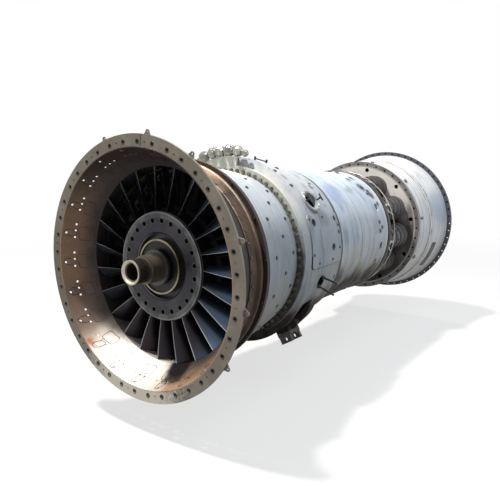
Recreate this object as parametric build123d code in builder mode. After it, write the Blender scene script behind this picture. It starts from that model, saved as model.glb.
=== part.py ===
from build123d import *
import os
from math import cos, radians, sin, sqrt

# The engine lies along Y: its front flange face is the plane y = 0, its rear is at +Y, and +Z is up.
# A station is a place along Y. An angle turns about Y from +X, the visible flank, towards +Z, the top.
# Names with low and high belong to the low-pressure and high-pressure parts of the engine.

# Clearances
run_gap = 0.4
seat_gap = 0.15
tip_gap = 2.0
overrun = 6.0

# Lengths of the sections, from front to rear
duct_length = 172.0
rivet_lap = 16.0
ring_length = 76.0
low_case_length = 264.0
mid_case_length = 307.0
high_case_length = 522.0
burner_length = 280.0
turbine_length = 365.0

low_front = duct_length - rivet_lap + ring_length
mid_front = low_front + low_case_length
high_front = mid_front + mid_case_length
high_rear = high_front + high_case_length
turbine_front = high_rear + burner_length
turbine_rear = turbine_front + turbine_length

# Inlet flange
flange_radius = 430.0
flange_bore_radius = 391.0
flange_thickness = 8.0
flange_circle_radius = 406.0
flange_hole_radius = 5.2
flange_hole_count = 40
flange_hole_start = 5.5
flange_dowel_radius = 3.0
flange_dowel_count = 20
flange_dowel_start = 10.0
flange_slit_width = 2.5
flange_slit_angle = 84.5

# Lugs behind the inlet flange
lug_angles = (108.2, 82.0, 56.9, 17.6, -9.1, -34.0)
lug_thickness = 4.0
lug_base_width = 40.0
lug_tip_radius = 7.0
lug_hole_radius = 3.2
lug_reach = 8.0
lug_root_radius = 418.0

# Inlet duct, a rolled sheet with the holes of the guide vanes' feet
duct_sheet = 3.0
duct_mid_station = 47.0
duct_mid_radius = 371.5
throat_station = 112.0
throat_radius = 331.5
foot_count = 22
foot_start = 0.8
foot_front_station = 17.0
foot_front_hole_radius = 4.6
foot_front_offset = 1.3
foot_row_station = 47.0
foot_row_hole_radius = 3.9
foot_row_pitch = 3.75
foot_row_steps = (-1, 0, 1)

# Ring between the duct and the low-pressure case
ring_wall = 3.2
ring_rib_radius = 348.0
ring_rib_station = 197.0
ring_rib_width = 8.0
ring_neck_radius = 341.0
ring_flange_radius = 356.0
ring_flange_thickness = 12.0
rivet_count = 48
rivet_start = 2.0
rivet_radius = 2.4
rivet_head_radius = 4.2
rivet_head_height = 2.4

# Low-pressure case
low_flange_radius = 352.0
low_flange_thickness = 8.0
low_front_radius = 346.0
low_rear_radius = 302.0
low_rear_bore_radius = 286.0
joint_flange_radius = 329.0
joint_flange_thickness = 9.0
joint_circle_radius = 312.0
joint_bolt_count = 70
joint_bolt_start = 1.3
joint_bolt_radius = 3.6
joint_head_radius = 7.2
joint_head_height = 9.0
ring_bolt_circle_radius = 349.0
ring_bolt_count = 16
ring_bolt_start = 6.8
ring_bolt_radius = 2.5
ring_head_radius = 4.6
ring_head_height = 5.0
case_bolt_stations = (307.0, 382.0, 448.0)
case_bolt_starts = (6.0, 17.3, 6.0)
case_bolt_count = 16
case_bolt_radius = 3.4
case_head_radius = 5.6
case_head_height = 6.0
case_spot_radius = 7.4
case_spot_depth = 3.2

# Intermediate case, an oval casting that runs down to a round rear end
mid_half_width = 334.0
mid_half_height = 362.0
mid_shoulder_length = 16.0
mid_rear_radius = 316.0
mid_wall = 8.0
mid_flange_thickness = 9.0
mid_bore_radius = 286.0
port_station = 621.0
port_angle = 36.0
port_boss_radius = 46.0
port_hole_radius = 34.0
port_boss_height = 9.0
oval_holes = ((578.0, 21.7), (715.0, 3.4))
oval_hole_radius = 15.0
window_station = 588.0
window_angle = -41.0
window_width = 88.0
window_height = 108.0
window_corner_radius = 8.0
pad_station = 618.0
pad_angle = -60.0
pad_length = 72.0
pad_width = 66.0
pad_radius = 366.0
pad_corner_radius = 6.0
bulge_front = 600.0
bulge_rear = 700.0
bulge_angle = -55.0
bulge_offset = 200.0
bulge_front_radius = 166.0
bulge_rear_radius = 148.0

# Flank cover and its screws
cover_station = 662.0
cover_angle = 10.0
cover_length = 252.0
cover_height = 198.0
cover_corner_radius = 16.0
cover_thickness = 4.0
cover_screw_places = ((548.0, 24.0), (548.0, 1.8), (594.0, -4.6), (708.0, -4.6), (771.0, 2.1),
                      (779.0, 17.8), (660.0, 24.6))
screw_radius = 2.6
screw_head_radius = 4.4
screw_head_height = 3.6
screw_spot_radius = 5.6
screw_spot_depth = 1.6
screw_grip = 5.0

# Studs on the flank, the lifting hoop and the mount bracket
drain_stud_places = ((643.0, -15.4), (631.0, -21.5))
drain_stud_radius = 4.0
drain_stud_reach = 72.0
drain_collar_radius = 8.0
drain_collar_height = 9.0
drain_collar_lift = 1.2
latch_stud_radius = 3.6
latch_stud_reach = 20.0
latch_bar_radius = 3.2
latch_bar_length = 30.0
hoop_angle = 80.0
hoop_stations = (560.0, 640.0)
hoop_post_height = 14.0
hoop_rod_radius = 4.0
hoop_bar_height = 6.0
hoop_bar_radius = 2.4
hoop_bolt_reach = 9.0
bracket_plate = 12.0
bracket_cheek = 12.0
bracket_reach = 40.0
bracket_pin_hole_radius = 8.0
bracket_bolt_radius = 4.0
bracket_bolt_head_radius = 7.0
bracket_bolt_head_height = 6.0
bracket_bolt_inset = 12.0
bracket_bolt_margin = 3.0

# Vent pipe over the joint, with its swollen unions and its clip plate
pipe_station = 490.0
pipe_circle_radius = 383.0
pipe_radius = 9.0
pipe_bore_radius = 7.0
pipe_start = 79.0
pipe_end = 115.0
union_angles = (85.0, 91.0, 97.0, 103.0, 109.5)
union_radius = 19.0
union_half_length = 14.0
union_gap = 0.6
union_neck_share = 0.72
clip_plate_thickness = 6.0
clip_plate_span = 24.0
clip_plate_angle = 97.0
saddle_angles = (94.0, 100.0)
saddle_width = 5.0

# High-pressure case
high_flange_radius = 314.0
high_flange_thickness = 9.0
high_front_radius = 299.0
high_rear_radius = 293.0
high_front_bore_radius = 286.0
high_rear_bore_radius = 276.0
high_rear_wall = 12.0
high_rear_opening_radius = 262.0
high_groove_stations = (961.0, 1030.0, 1100.0)
high_groove_width = 3.0
high_groove_depth = 0.8
nozzle_slot_station = 1246.0
nozzle_slot_length = 36.0
nozzle_slot_width = 26.0
high_hole_station = 1230.0
high_hole_radius = 4.0
high_hole_offsets = (-14.0, -22.0, 14.0)

# Burner section
can_count = 10
can_start = 27.4
can_circle_radius = 228.0
can_sheet = 2.4
can_snout_radius = 30.0
can_dome_radius = 44.0
can_ring_radii = (52.0, 56.0, 59.0, 61.0, 63.0)
can_exit_radius = 58.0
can_front_gap = 31.0
can_dome_length = 24.0
can_exit_length = 26.0
can_hole_radius = 7.0
can_hole_count = 8
can_hole_step_share = 2.5
cross_step_share = 1.5
cross_tube_radius = 9.0
diffuser_thickness = 12.0
diffuser_bore_radius = 134.0
diffuser_radius = 285.0
diffuser_hole_radius = 24.0
manifold_circle_radius = 281.0
manifold_tube_radius = 7.0
manifold_setback = 9.0
nozzle_stem_radius = 5.0
nozzle_tip_radius = 11.0
nozzle_tip_length = 30.0
inner_case_wall = 8.0
plate_thickness = 6.0
plate_radius = 313.0
plate_hole_radius = 11.0
plate_hole_circle_radius = 299.0

# Turbine case
rim_radius = 341.0
rim_thickness = 9.0
rim_bore_radius = plate_radius + seat_gap
rim_circle_radius = 327.0
rim_hole_radius = 4.0
rim_hole_count = 40
rim_hole_start = 1.0
turbine_wall = 12.0
turbine_front_bore_radius = 316.0
turbine_rear_bore_radius = 365.0
band_height = 2.5
plug_band_station = 1640.0
plug_band_width = 46.0
stain_band_station = 1752.0
stain_band_width = 20.0
rear_flange_radius = 395.0
rear_flange_thickness = 14.0
rear_circle_radius = 386.0
rear_hole_radius = 4.2
rear_hole_count = 60
rear_hole_start = 0.3
plug_count = 10
plug_start = 9.4
plug_radius = 5.0
plug_head_radius = 10.0
plug_head_height = 9.0
plug_grip = 8.0
plug_place_share = 0.4
plug_seat_depth = 2.0

# Low-pressure rotor at the front
hub_station = 107.0
hub_plate_thickness = 8.0
hub_plate_radius = 182.0
hub_plate_bore_radius = 110.0
hub_plate_chamfer = 6.0
hub_hole_circle_radius = 154.0
hub_hole_radius = 4.8
hub_hole_count = 23
hub_hole_start = 7.0
blade_count = 23
blade_start = 3.0
blade_lead_station = 111.0
blade_root_radius = 184.6
blade_chords = (44.0, 56.0, 66.0)
blade_thicknesses = (6.4, 4.4, 3.0)
blade_staggers = (10.0, 32.0, 46.0)
blade_camber_share = 0.07
disc_radius = blade_root_radius - seat_gap
disc_rear = 156.0
seal_radius = 93.0
seal_wall = 6.0
seal_front = 101.0
seal_groove_depth = 16.0

# Drive shaft that reaches forward to the propeller gearbox
drive_front = -23.5
drive_lip_radius = 40.0
drive_bore_radius = 27.0
drive_lip_chamfer = 9.0
drive_lip_length = 6.0
spline_root_radius = 36.8
spline_tip_radius = 39.6
spline_count = 36
spline_end = 24.0
thread_radius = 41.5
thread_length = 8.0
journal_radius = 47.0
journal_end = 66.0
collar_radius = 60.0
collar_length = 10.0
collar_station = 84.0
drive_flange_radius = seal_radius - seal_wall - seat_gap
drive_flange_thickness = 14.0
drive_flange_station = 106.0

# Low-pressure spool behind the front stage
drum_radius = 170.0
drum_wall = 12.0
drum_web = 10.0
drum_end_gap = 10.0
low_shaft_radius = 50.0
low_shaft_bore_radius = 36.0
low_shaft_flange_thickness = 10.0
low_exit_hub_radius = 232.0
low_row_count = 5
low_first_rotor = 202.0
low_row_pitch = 60.0
low_rotor_chord = 24.0
low_stator_chord = 20.0
low_rotor_blade_count = 25
low_stator_vane_count = 26

# High-pressure spool
high_shaft_radius = 100.0
high_shaft_bore_radius = 84.0
high_shaft_front = 745.0
high_drum_front = 815.0
high_drum_radius = 210.0
high_hub_front_radius = 226.0
high_hub_rear_radius = 238.0
high_row_count = 9
high_first_rotor = 834.0
high_row_pitch = 52.0
high_rotor_chord = 20.0
high_stator_chord = 18.0
high_rotor_blade_count = 30
high_stator_vane_count = 32
row_blade_thickness = 3.0
row_stagger = 30.0
stator_ring = 4.0
blade_embed = 2.0

# Turbine rows
turbine_hub_radius = 232.0
turbine_rim = 16.0
turbine_first_vane = 1650.0
turbine_stage_pitch = 71.0
turbine_vane_to_blade = 36.0
turbine_vane_chord = 26.0
turbine_blade_chord = 24.0
turbine_stage_count = 4
turbine_vane_count = 36
turbine_blade_count = 44
disc_web = 14.0
disc_hub_radius_share = 0.34

# Bearings and their carriers
roller_radius = 9.0
roller_length = 18.0
race_wall = 12.0
roller_count = 20
low_journal_radius = 60.0
low_front_bearing = 541.0
high_front_bearing = 770.0
high_rear_bearing = 1570.0
low_rear_bearing = 1945.0
frame_outer_wall = 7.0
frame_inner_radius = 228.0
frame_inner_wall = 6.0
frame_hub_radius = 154.0
frame_hub_wall = 10.0
frame_strut_count = 8
frame_strut_thickness = 14.0
frame_end_gap = 4.0
frame_web_margin = 4.0
frame_strut_setback = 40.0
exhaust_length = 40.0
exhaust_wall = 6.0
exhaust_hub_wall = 12.0
exhaust_strut_thickness = 12.0

hex_sides = 6
full_turn = 360.0
quarter_turn = 90.0
half_share = 0.5
stand_up = (Align.CENTER, Align.CENTER, Align.MIN)


def front_plane(station):
    """Plane across the engine at a station, facing forward, its x to +X and its y to +Z."""
    return Plane.XZ.offset(-station)


def radial_plane(station, angle, radius, turned=0.0):
    """Plane that faces outwards at a station, angle and radius, its x along the engine before it is turned."""
    outwards = Vector(cos(radians(angle)), 0, sin(radians(angle)))
    around = Vector(-sin(radians(angle)), 0, cos(radians(angle)))
    along = Vector(0, 1, 0) * cos(radians(turned)) - around * sin(radians(turned))
    return Plane(origin=outwards * radius + Vector(0, station, 0), x_dir=along, z_dir=outwards)


def evenly(count, start):
    """Angles spread evenly round the engine."""
    return [start + full_turn * step / count for step in range(count)]


def around_axis(piece, count, start):
    """Copies of a piece that is drawn at angle 0, turned evenly round the engine."""
    return [piece.rotate(Axis.Y, -angle) for angle in evenly(count, start)]


def turn(*points, mode=Mode.ADD):
    """Turn a closed outline of (radius, station) points about the engine's axis."""
    with BuildSketch(Plane.XY) as section:
        with BuildLine():
            Polyline(*points, close=True)
        make_face()
    revolve(section.sketch, axis=Axis.Y, mode=mode)


def tube(inner, outer, front, rear, mode=Mode.ADD):
    """Plain ring between two radii and two stations."""
    turn((inner, front), (outer, front), (outer, rear), (inner, rear), mode=mode)


def drill_around(station, circle_radius, hole_radius, count, start, depth):
    """Ring of holes cut rearwards from a station, parallel to the engine's axis."""
    with BuildSketch(front_plane(station)) as holes:
        with PolarLocations(circle_radius, count, start_angle=start):
            Circle(hole_radius)
    extrude(holes.sketch, amount=-depth, mode=Mode.SUBTRACT)


def bolts_around(station, circle_radius, count, start, head_radius, head_height, shank_radius,
                 shank_length):
    """Hex bolts round a flange: the heads stand forward of the station, the shanks reach rearwards."""
    with BuildSketch(front_plane(station)) as heads:
        with PolarLocations(circle_radius, count, start_angle=start):
            RegularPolygon(head_radius, hex_sides)
    extrude(heads.sketch, amount=head_height)
    with BuildSketch(front_plane(station)) as shanks:
        with PolarLocations(circle_radius, count, start_angle=start):
            Circle(shank_radius)
    extrude(shanks.sketch, amount=-shank_length)


def rods(planes, radius, length, mode=Mode.ADD):
    """Round rods, or holes, that start on the given planes and run along their normals."""
    with BuildSketch(*planes) as ends:
        Circle(radius)
    extrude(ends.sketch, amount=length, mode=mode)


def hex_heads(planes, radius, height):
    """Hexagonal heads that stand on the given planes."""
    with BuildSketch(*planes) as ends:
        RegularPolygon(radius, hex_sides)
    extrude(ends.sketch, amount=height)


def between(station, front, front_value, rear, rear_value):
    """Value at a station on the straight line between two stations."""
    return front_value + (rear_value - front_value) * (station - front) / (rear - front)


def low_bore(station):
    """Inner radius of the low-pressure casing at a station."""
    if station <= low_front:
        return throat_radius
    return between(station, low_front, throat_radius, mid_front, low_rear_bore_radius)


def low_hub(station):
    """Outer radius of the low-pressure rotor's rims at a station."""
    return between(station, throat_station, disc_radius, mid_front, low_exit_hub_radius)


def low_surface(station):
    """Outer radius of the low-pressure case at a station."""
    return between(station, low_front + low_flange_thickness, low_front_radius,
                   mid_front - joint_flange_thickness, low_rear_radius)


def high_bore(station):
    """Inner radius of the high-pressure case at a station."""
    return between(station, high_front, high_front_bore_radius, high_rear, high_rear_bore_radius)


def high_hub(station):
    """Outer radius of the high-pressure rotor's rims at a station."""
    return between(station, high_front, high_hub_front_radius, high_rear, high_hub_rear_radius)


def high_surface(station):
    """Outer radius of the high-pressure case at a station."""
    return between(station, high_front + high_flange_thickness, high_front_radius, high_rear,
                   high_rear_radius)


def turbine_bore(station):
    """Inner radius of the turbine case at a station."""
    return between(station, turbine_front, turbine_front_bore_radius, turbine_rear,
                   turbine_rear_bore_radius)


def turbine_surface(station):
    """Outer radius of the turbine case at a station."""
    return turbine_bore(station) + turbine_wall


mid_shoulder = mid_front + mid_flange_thickness + mid_shoulder_length


def mid_surface(station, angle):
    """Outer radius of the intermediate case at a station and angle."""
    across = cos(radians(angle)) / mid_half_width
    upright = sin(radians(angle)) / mid_half_height
    oval = 1 / sqrt(across * across + upright * upright)
    return between(station, mid_shoulder, oval, high_front, mid_rear_radius)


def mid_body(grow, front, rear):
    """Closed body of the intermediate case between two stations, its skin moved outwards by grow."""
    with BuildPart() as body:
        with BuildSketch(front_plane(front)) as front_end:
            Circle(joint_flange_radius + grow)
        with BuildSketch(front_plane(mid_shoulder)) as shoulder:
            Ellipse(mid_half_width + grow, mid_half_height + grow)
        with BuildSketch(front_plane(rear)) as rear_end:
            Circle(mid_rear_radius + grow)
        loft(sections=[front_end.sketch.face(), shoulder.sketch.face(), rear_end.sketch.face()], ruled=True)
    return body.part


def rotor_row(station, chord, bore, rim, tip, count):
    """Ring of blades standing outwards on a rim."""
    front, rear = station - chord / 2, station + chord / 2
    with BuildPart() as row:
        tube(bore, rim, front, rear)
        places = [radial_plane(station, angle, rim - blade_embed, row_stagger)
                  for angle in evenly(count, 0)]
        with Locations(*places):
            Box(chord, row_blade_thickness, tip - rim + blade_embed, align=stand_up)
    return row.part


def stator_row(station, chord, front_bore, rear_bore, hub, count):
    """Ring of vanes hanging inwards from a band that lies in a casing."""
    front, rear = station - chord / 2, station + chord / 2
    front_outer, rear_outer = front_bore - seat_gap, rear_bore - seat_gap
    vane_outer = min(front_outer, rear_outer) - stator_ring + blade_embed
    with BuildPart() as row:
        turn((front_outer - stator_ring, front), (front_outer, front),
             (rear_outer, rear), (rear_outer - stator_ring, rear))
        places = [radial_plane(station, angle, hub, -row_stagger) for angle in evenly(count, 0)]
        with Locations(*places):
            Box(chord, row_blade_thickness, vane_outer - hub, align=stand_up)
    return row.part


def turbine_disc(station, chord, bore, rim):
    """Turned disc with a thick hub and rim and a thin web."""
    hub = bore + (rim - bore) * disc_hub_radius_share
    rim_inner = rim - turbine_rim
    half, web = chord / 2, disc_web / 2
    with BuildPart() as disc:
        turn((bore, station - half), (hub, station - half), (hub + half - web, station - web),
             (rim_inner - half + web, station - web), (rim_inner, station - half), (rim, station - half),
             (rim, station + half), (rim_inner, station + half), (rim_inner - half + web, station + web),
             (hub + half - web, station + web), (hub, station + half), (bore, station + half))
    return disc.part


def roller_set(station, journal):
    """Rollers that run between a journal and its outer race."""
    with BuildPart() as rollers:
        with BuildSketch(front_plane(station - roller_length / 2)) as ends:
            with PolarLocations(journal + run_gap + roller_radius, roller_count):
                Circle(roller_radius)
        extrude(ends.sketch, amount=-roller_length)
    return rollers.part


def race_bore(journal):
    """Inner radius of the outer race that runs round a journal."""
    return journal + 2 * (roller_radius + run_gap)


def race_seat(journal):
    """Outer radius of the outer race that runs round a journal."""
    return race_bore(journal) + race_wall


def outer_race(station, journal):
    """Outer race of a roller bearing."""
    with BuildPart() as race:
        tube(race_bore(journal), race_seat(journal), station - roller_length / 2,
             station + roller_length / 2)
    return race.part


os.makedirs("parts", exist_ok=True)


def keep(part, name):
    """Label a finished piece and write it."""
    part.label = name
    export_step(part, f"parts/{name}.step")


# Inlet flange: a flat bolted ring with a slit where its ends meet
with BuildPart() as inlet_flange:
    tube(flange_bore_radius, flange_radius, 0, flange_thickness)
    drill_around(0, flange_circle_radius, flange_hole_radius, flange_hole_count, flange_hole_start,
                 flange_thickness)
    drill_around(0, flange_circle_radius, flange_dowel_radius, flange_dowel_count, flange_dowel_start,
                 flange_thickness)
    with Locations(radial_plane(0, flange_slit_angle, flange_bore_radius - overrun)):
        Box(2 * (flange_thickness + overrun), flange_slit_width,
            flange_radius - flange_bore_radius + 2 * overrun,
            align=stand_up, mode=Mode.SUBTRACT)
keep(inlet_flange.part, "inlet_flange")

# Lugs: pointed plates on the rear face of the flange, each with a small hole
lug_hole_centre = flange_radius + lug_reach
with BuildPart() as inlet_lug:
    with BuildSketch(front_plane(flange_thickness)):
        with BuildLine():
            Polyline((lug_root_radius, -lug_base_width / 2), (lug_hole_centre, -lug_tip_radius),
                     (lug_hole_centre, lug_tip_radius), (lug_root_radius, lug_base_width / 2), close=True)
        make_face()
        with Locations((lug_hole_centre, 0)):
            Circle(lug_tip_radius)
            Circle(lug_hole_radius, mode=Mode.SUBTRACT)
    extrude(amount=-lug_thickness)
with BuildPart() as inlet_lugs:
    add([inlet_lug.part.rotate(Axis.Y, -angle) for angle in lug_angles])
keep(inlet_lugs.part, "inlet_lugs")

# Inlet duct: a bell-mouthed sheet that runs into a plain lap
lip_radius = flange_bore_radius - seat_gap - duct_sheet
foot_angles = evenly(foot_count, foot_start)
rivet_station = duct_length - rivet_lap / 2
rivet_angles = evenly(rivet_count, rivet_start)
with BuildPart() as inlet_duct:
    with BuildSketch(Plane.XY):
        with BuildLine():
            ThreePointArc((lip_radius, 0), (duct_mid_radius, duct_mid_station),
                          (throat_radius, throat_station))
            Line((throat_radius, throat_station), (throat_radius, duct_length))
            Line((throat_radius, duct_length), (throat_radius + duct_sheet, duct_length))
            Line((throat_radius + duct_sheet, duct_length), (throat_radius + duct_sheet, throat_station))
            ThreePointArc((throat_radius + duct_sheet, throat_station),
                          (duct_mid_radius + duct_sheet, duct_mid_station), (lip_radius + duct_sheet, 0))
            Line((lip_radius + duct_sheet, 0), (lip_radius, 0))
        make_face()
    revolve(axis=Axis.Y)
    front_holes = [radial_plane(foot_front_station, angle + foot_front_offset, throat_radius)
                   for angle in foot_angles]
    rods(front_holes, foot_front_hole_radius, flange_radius - throat_radius, mode=Mode.SUBTRACT)
    row_holes = [radial_plane(foot_row_station, angle + step * foot_row_pitch, throat_radius)
                 for angle in foot_angles for step in foot_row_steps]
    rods(row_holes, foot_row_hole_radius, flange_radius - throat_radius, mode=Mode.SUBTRACT)
    rivet_planes = [radial_plane(rivet_station, angle, throat_radius - overrun) for angle in rivet_angles]
    rods(rivet_planes, rivet_radius + seat_gap, flange_radius - throat_radius, mode=Mode.SUBTRACT)
keep(inlet_duct.part, "inlet_duct")

# Ring behind the duct: a riveted lap, a stiffening rib and the flange that meets the low-pressure case
ring_front = duct_length - rivet_lap
ring_lap_radius = throat_radius + duct_sheet + seat_gap
ring_outer_radius = ring_lap_radius + ring_wall
ring_flange_front = low_front - ring_flange_thickness
with BuildPart() as inlet_rear_ring:
    turn((ring_lap_radius, ring_front), (ring_outer_radius, ring_front),
         (ring_outer_radius, ring_rib_station - ring_rib_width), (ring_rib_radius, ring_rib_station),
         (ring_rib_radius, ring_rib_station + ring_rib_width),
         (ring_neck_radius, ring_rib_station + ring_rib_width),
         (ring_neck_radius, ring_flange_front), (ring_flange_radius, ring_flange_front),
         (ring_flange_radius, low_front), (throat_radius, low_front),
         (throat_radius, duct_length + seat_gap), (ring_lap_radius, duct_length + seat_gap))
    rods(rivet_planes, rivet_radius + seat_gap, flange_radius - throat_radius, mode=Mode.SUBTRACT)
    drill_around(ring_flange_front, ring_bolt_circle_radius, ring_bolt_radius + seat_gap, ring_bolt_count,
                 ring_bolt_start, ring_flange_thickness)
keep(inlet_rear_ring.part, "inlet_rear_ring")

# Rivets through the lap
rivet_feet = [radial_plane(rivet_station, angle, throat_radius + seat_gap) for angle in rivet_angles]
rivet_seats = [radial_plane(rivet_station, angle, ring_outer_radius + seat_gap) for angle in rivet_angles]
with BuildPart() as ring_rivets:
    rods(rivet_feet, rivet_radius, ring_outer_radius - throat_radius)
    rods(rivet_seats, rivet_head_radius, rivet_head_height)
keep(ring_rivets.part, "ring_rivets")

# Bolts that hold the ring to the low-pressure case
ring_bolt_length = ring_flange_thickness + low_flange_thickness
with BuildPart() as ring_bolts:
    bolts_around(ring_flange_front, ring_bolt_circle_radius, ring_bolt_count, ring_bolt_start,
                 ring_head_radius, ring_head_height, ring_bolt_radius, ring_bolt_length)
keep(ring_bolts.part, "ring_bolts")

# Low-pressure case: a tapered shell with a flange at each end and spot-faced vane bolts in three rows
case_bolt_places = [(station, angle) for station, start in zip(case_bolt_stations, case_bolt_starts)
                    for angle in evenly(case_bolt_count, start)]
joint_face = mid_front - joint_flange_thickness
with BuildPart() as low_compressor_case:
    turn((throat_radius, low_front), (low_flange_radius, low_front),
         (low_flange_radius, low_front + low_flange_thickness),
         (low_front_radius, low_front + low_flange_thickness), (low_rear_radius, joint_face),
         (joint_flange_radius, joint_face), (joint_flange_radius, mid_front),
         (low_rear_bore_radius, mid_front))
    spots = [radial_plane(station, angle, low_surface(station) - case_spot_depth) for station,
             angle in case_bolt_places]
    rods(spots, case_spot_radius, overrun, mode=Mode.SUBTRACT)
    shank_holes = [radial_plane(station, angle, low_bore(station) - overrun) for station,
                   angle in case_bolt_places]
    rods(shank_holes, case_bolt_radius + seat_gap, low_front_radius - low_rear_bore_radius,
         mode=Mode.SUBTRACT)
    drill_around(joint_face, joint_circle_radius, joint_bolt_radius + seat_gap, joint_bolt_count,
                 joint_bolt_start,
                 joint_flange_thickness)
    drill_around(low_front, ring_bolt_circle_radius, ring_bolt_radius + seat_gap, ring_bolt_count,
                 ring_bolt_start,
                 low_flange_thickness)
keep(low_compressor_case.part, "low_compressor_case")

# Vane bolts in the low-pressure case
with BuildPart() as low_compressor_bolts:
    hex_heads(spots, case_head_radius, case_head_height)
    for station in case_bolt_stations:
        grip = low_surface(station) - case_spot_depth - low_bore(station) - seat_gap - tip_gap
        feet = [radial_plane(place, angle, low_surface(place) - case_spot_depth - grip)
                for place, angle in case_bolt_places if place == station]
        rods(feet, case_bolt_radius, grip)
keep(low_compressor_bolts.part, "low_compressor_bolts")

# Bolts of the joint between the low-pressure case and the intermediate case
joint_bolt_length = joint_flange_thickness + mid_flange_thickness
with BuildPart() as joint_bolts:
    bolts_around(joint_face, joint_circle_radius, joint_bolt_count, joint_bolt_start,
                 joint_head_radius, joint_head_height, joint_bolt_radius, joint_bolt_length)
keep(joint_bolts.part, "joint_bolts")

# Intermediate case: a hollow oval casting with a port, a window, a mount pad and end walls
mid_joint_rear = mid_front + mid_flange_thickness
port_face = mid_surface(port_station, port_angle) + port_boss_height
cover_face = [(station, angle, mid_surface(station, angle) + cover_thickness) for station,
              angle in cover_screw_places]
screw_spots = [radial_plane(station, angle, face - screw_spot_depth) for station, angle, face in cover_face]
screw_holes = [radial_plane(station, angle, face - cover_thickness - mid_wall - overrun)
               for station, angle, face in cover_face]
oval_planes = [radial_plane(station, angle, mid_bore_radius) for station, angle in oval_holes]
drain_planes = [radial_plane(station, angle, mid_surface(station, angle) - mid_wall) for station,
                angle in drain_stud_places]
hoop_feet = [radial_plane(station, hoop_angle, mid_surface(station, hoop_angle) - hoop_bolt_reach)
             for station in hoop_stations]
latch_circle = (port_boss_radius + port_hole_radius) / 2
latch_stations = (port_station - latch_circle, port_station + latch_circle)
latch_feet = [radial_plane(station, port_angle, port_face - port_boss_height) for station in latch_stations]
pad_plane = radial_plane(pad_station, pad_angle, pad_radius)
bulge_centre = (bulge_offset * cos(radians(bulge_angle)), bulge_offset * sin(radians(bulge_angle)))
with BuildPart() as bulge_body:
    with BuildSketch(front_plane(bulge_front)) as bulge_front_end:
        with Locations(bulge_centre):
            Circle(bulge_front_radius)
    with BuildSketch(front_plane(bulge_rear)) as bulge_rear_end:
        with Locations(bulge_centre):
            Circle(bulge_rear_radius)
    loft(sections=[bulge_front_end.sketch.face(), bulge_rear_end.sketch.face()], ruled=True)
pad_bolt_along = pad_length / 2 - bracket_cheek - bracket_bolt_head_radius - bracket_bolt_margin
pad_bolt_across = pad_width / 2 - bracket_bolt_inset
pad_bolt_places = [(along * pad_bolt_along, across * pad_bolt_across) for along in (-1, 1)
                   for across in (-1, 1)]
with BuildPart() as intermediate_case:
    add(mid_body(0, mid_joint_rear, high_front))
    with BuildSketch(pad_plane) as pad:
        RectangleRounded(pad_length, pad_width, pad_corner_radius)
    extrude(pad.sketch, amount=-(pad_radius - mid_bore_radius))
    with BuildSketch(radial_plane(port_station, port_angle, port_face)) as port_boss:
        Circle(port_boss_radius)
    extrude(port_boss.sketch, amount=-(port_face - mid_bore_radius))
    add(bulge_body.part)
    hollow_front, hollow_rear = mid_joint_rear + mid_wall, high_front - mid_wall
    add(mid_body(-mid_wall, hollow_front, hollow_rear), mode=Mode.SUBTRACT)
    with BuildSketch(pad_plane) as pad_block:
        RectangleRounded(pad_length, pad_width, pad_corner_radius)
    extrude(pad_block.sketch, amount=-(pad_radius - mid_surface(pad_station, pad_angle) + 2 * mid_wall))
    tube(mid_bore_radius, joint_flange_radius, mid_front, mid_joint_rear)
    tube(0, mid_bore_radius, mid_front - overrun, high_front + overrun, mode=Mode.SUBTRACT)
    rods([radial_plane(port_station, port_angle, mid_bore_radius)], port_hole_radius,
         flange_radius - mid_bore_radius,
         mode=Mode.SUBTRACT)
    rods(oval_planes, oval_hole_radius, flange_radius - mid_bore_radius, mode=Mode.SUBTRACT)
    rods(screw_holes, screw_radius + seat_gap, flange_radius - mid_bore_radius, mode=Mode.SUBTRACT)
    rods(drain_planes, drain_stud_radius + seat_gap, flange_radius - mid_bore_radius, mode=Mode.SUBTRACT)
    rods(hoop_feet, hoop_rod_radius + seat_gap, flange_radius - mid_bore_radius, mode=Mode.SUBTRACT)
    rods(latch_feet, latch_stud_radius + seat_gap, flange_radius - mid_bore_radius, mode=Mode.SUBTRACT)
    with BuildSketch(radial_plane(window_station, window_angle, mid_bore_radius)) as window:
        RectangleRounded(window_width, window_height, window_corner_radius)
    extrude(window.sketch, amount=flange_radius - mid_bore_radius, mode=Mode.SUBTRACT)
    drill_around(mid_front, joint_circle_radius, joint_bolt_radius + seat_gap, joint_bolt_count,
                 joint_bolt_start,
                 mid_flange_thickness)
    with BuildSketch(pad_plane) as pad_holes:
        with Locations(*pad_bolt_places):
            Circle(bracket_bolt_radius + seat_gap)
    extrude(pad_holes.sketch, amount=-2 * mid_wall, mode=Mode.SUBTRACT)
keep(intermediate_case.part, "intermediate_case")

# Flank cover: a thin curved plate that follows the casting's skin
with BuildPart() as flank_cover:
    add(mid_body(cover_thickness, mid_joint_rear, high_front))
    add(mid_body(seat_gap, mid_joint_rear, high_front), mode=Mode.SUBTRACT)
    with BuildSketch(radial_plane(cover_station, cover_angle, mid_bore_radius - overrun)) as cover_outline:
        RectangleRounded(cover_length, cover_height, cover_corner_radius)
    extrude(cover_outline.sketch, amount=flange_radius - mid_bore_radius, mode=Mode.INTERSECT)
    rods(oval_planes, oval_hole_radius, flange_radius - mid_bore_radius, mode=Mode.SUBTRACT)
    rods(screw_holes, screw_radius + seat_gap, flange_radius - mid_bore_radius, mode=Mode.SUBTRACT)
    rods(screw_spots, screw_spot_radius, overrun, mode=Mode.SUBTRACT)
    rods([radial_plane(port_station, port_angle, mid_bore_radius)], port_boss_radius + run_gap,
         flange_radius - mid_bore_radius, mode=Mode.SUBTRACT)
    rods(drain_planes, drain_collar_radius + run_gap, flange_radius - mid_bore_radius, mode=Mode.SUBTRACT)
keep(flank_cover.part, "flank_cover")

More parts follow.
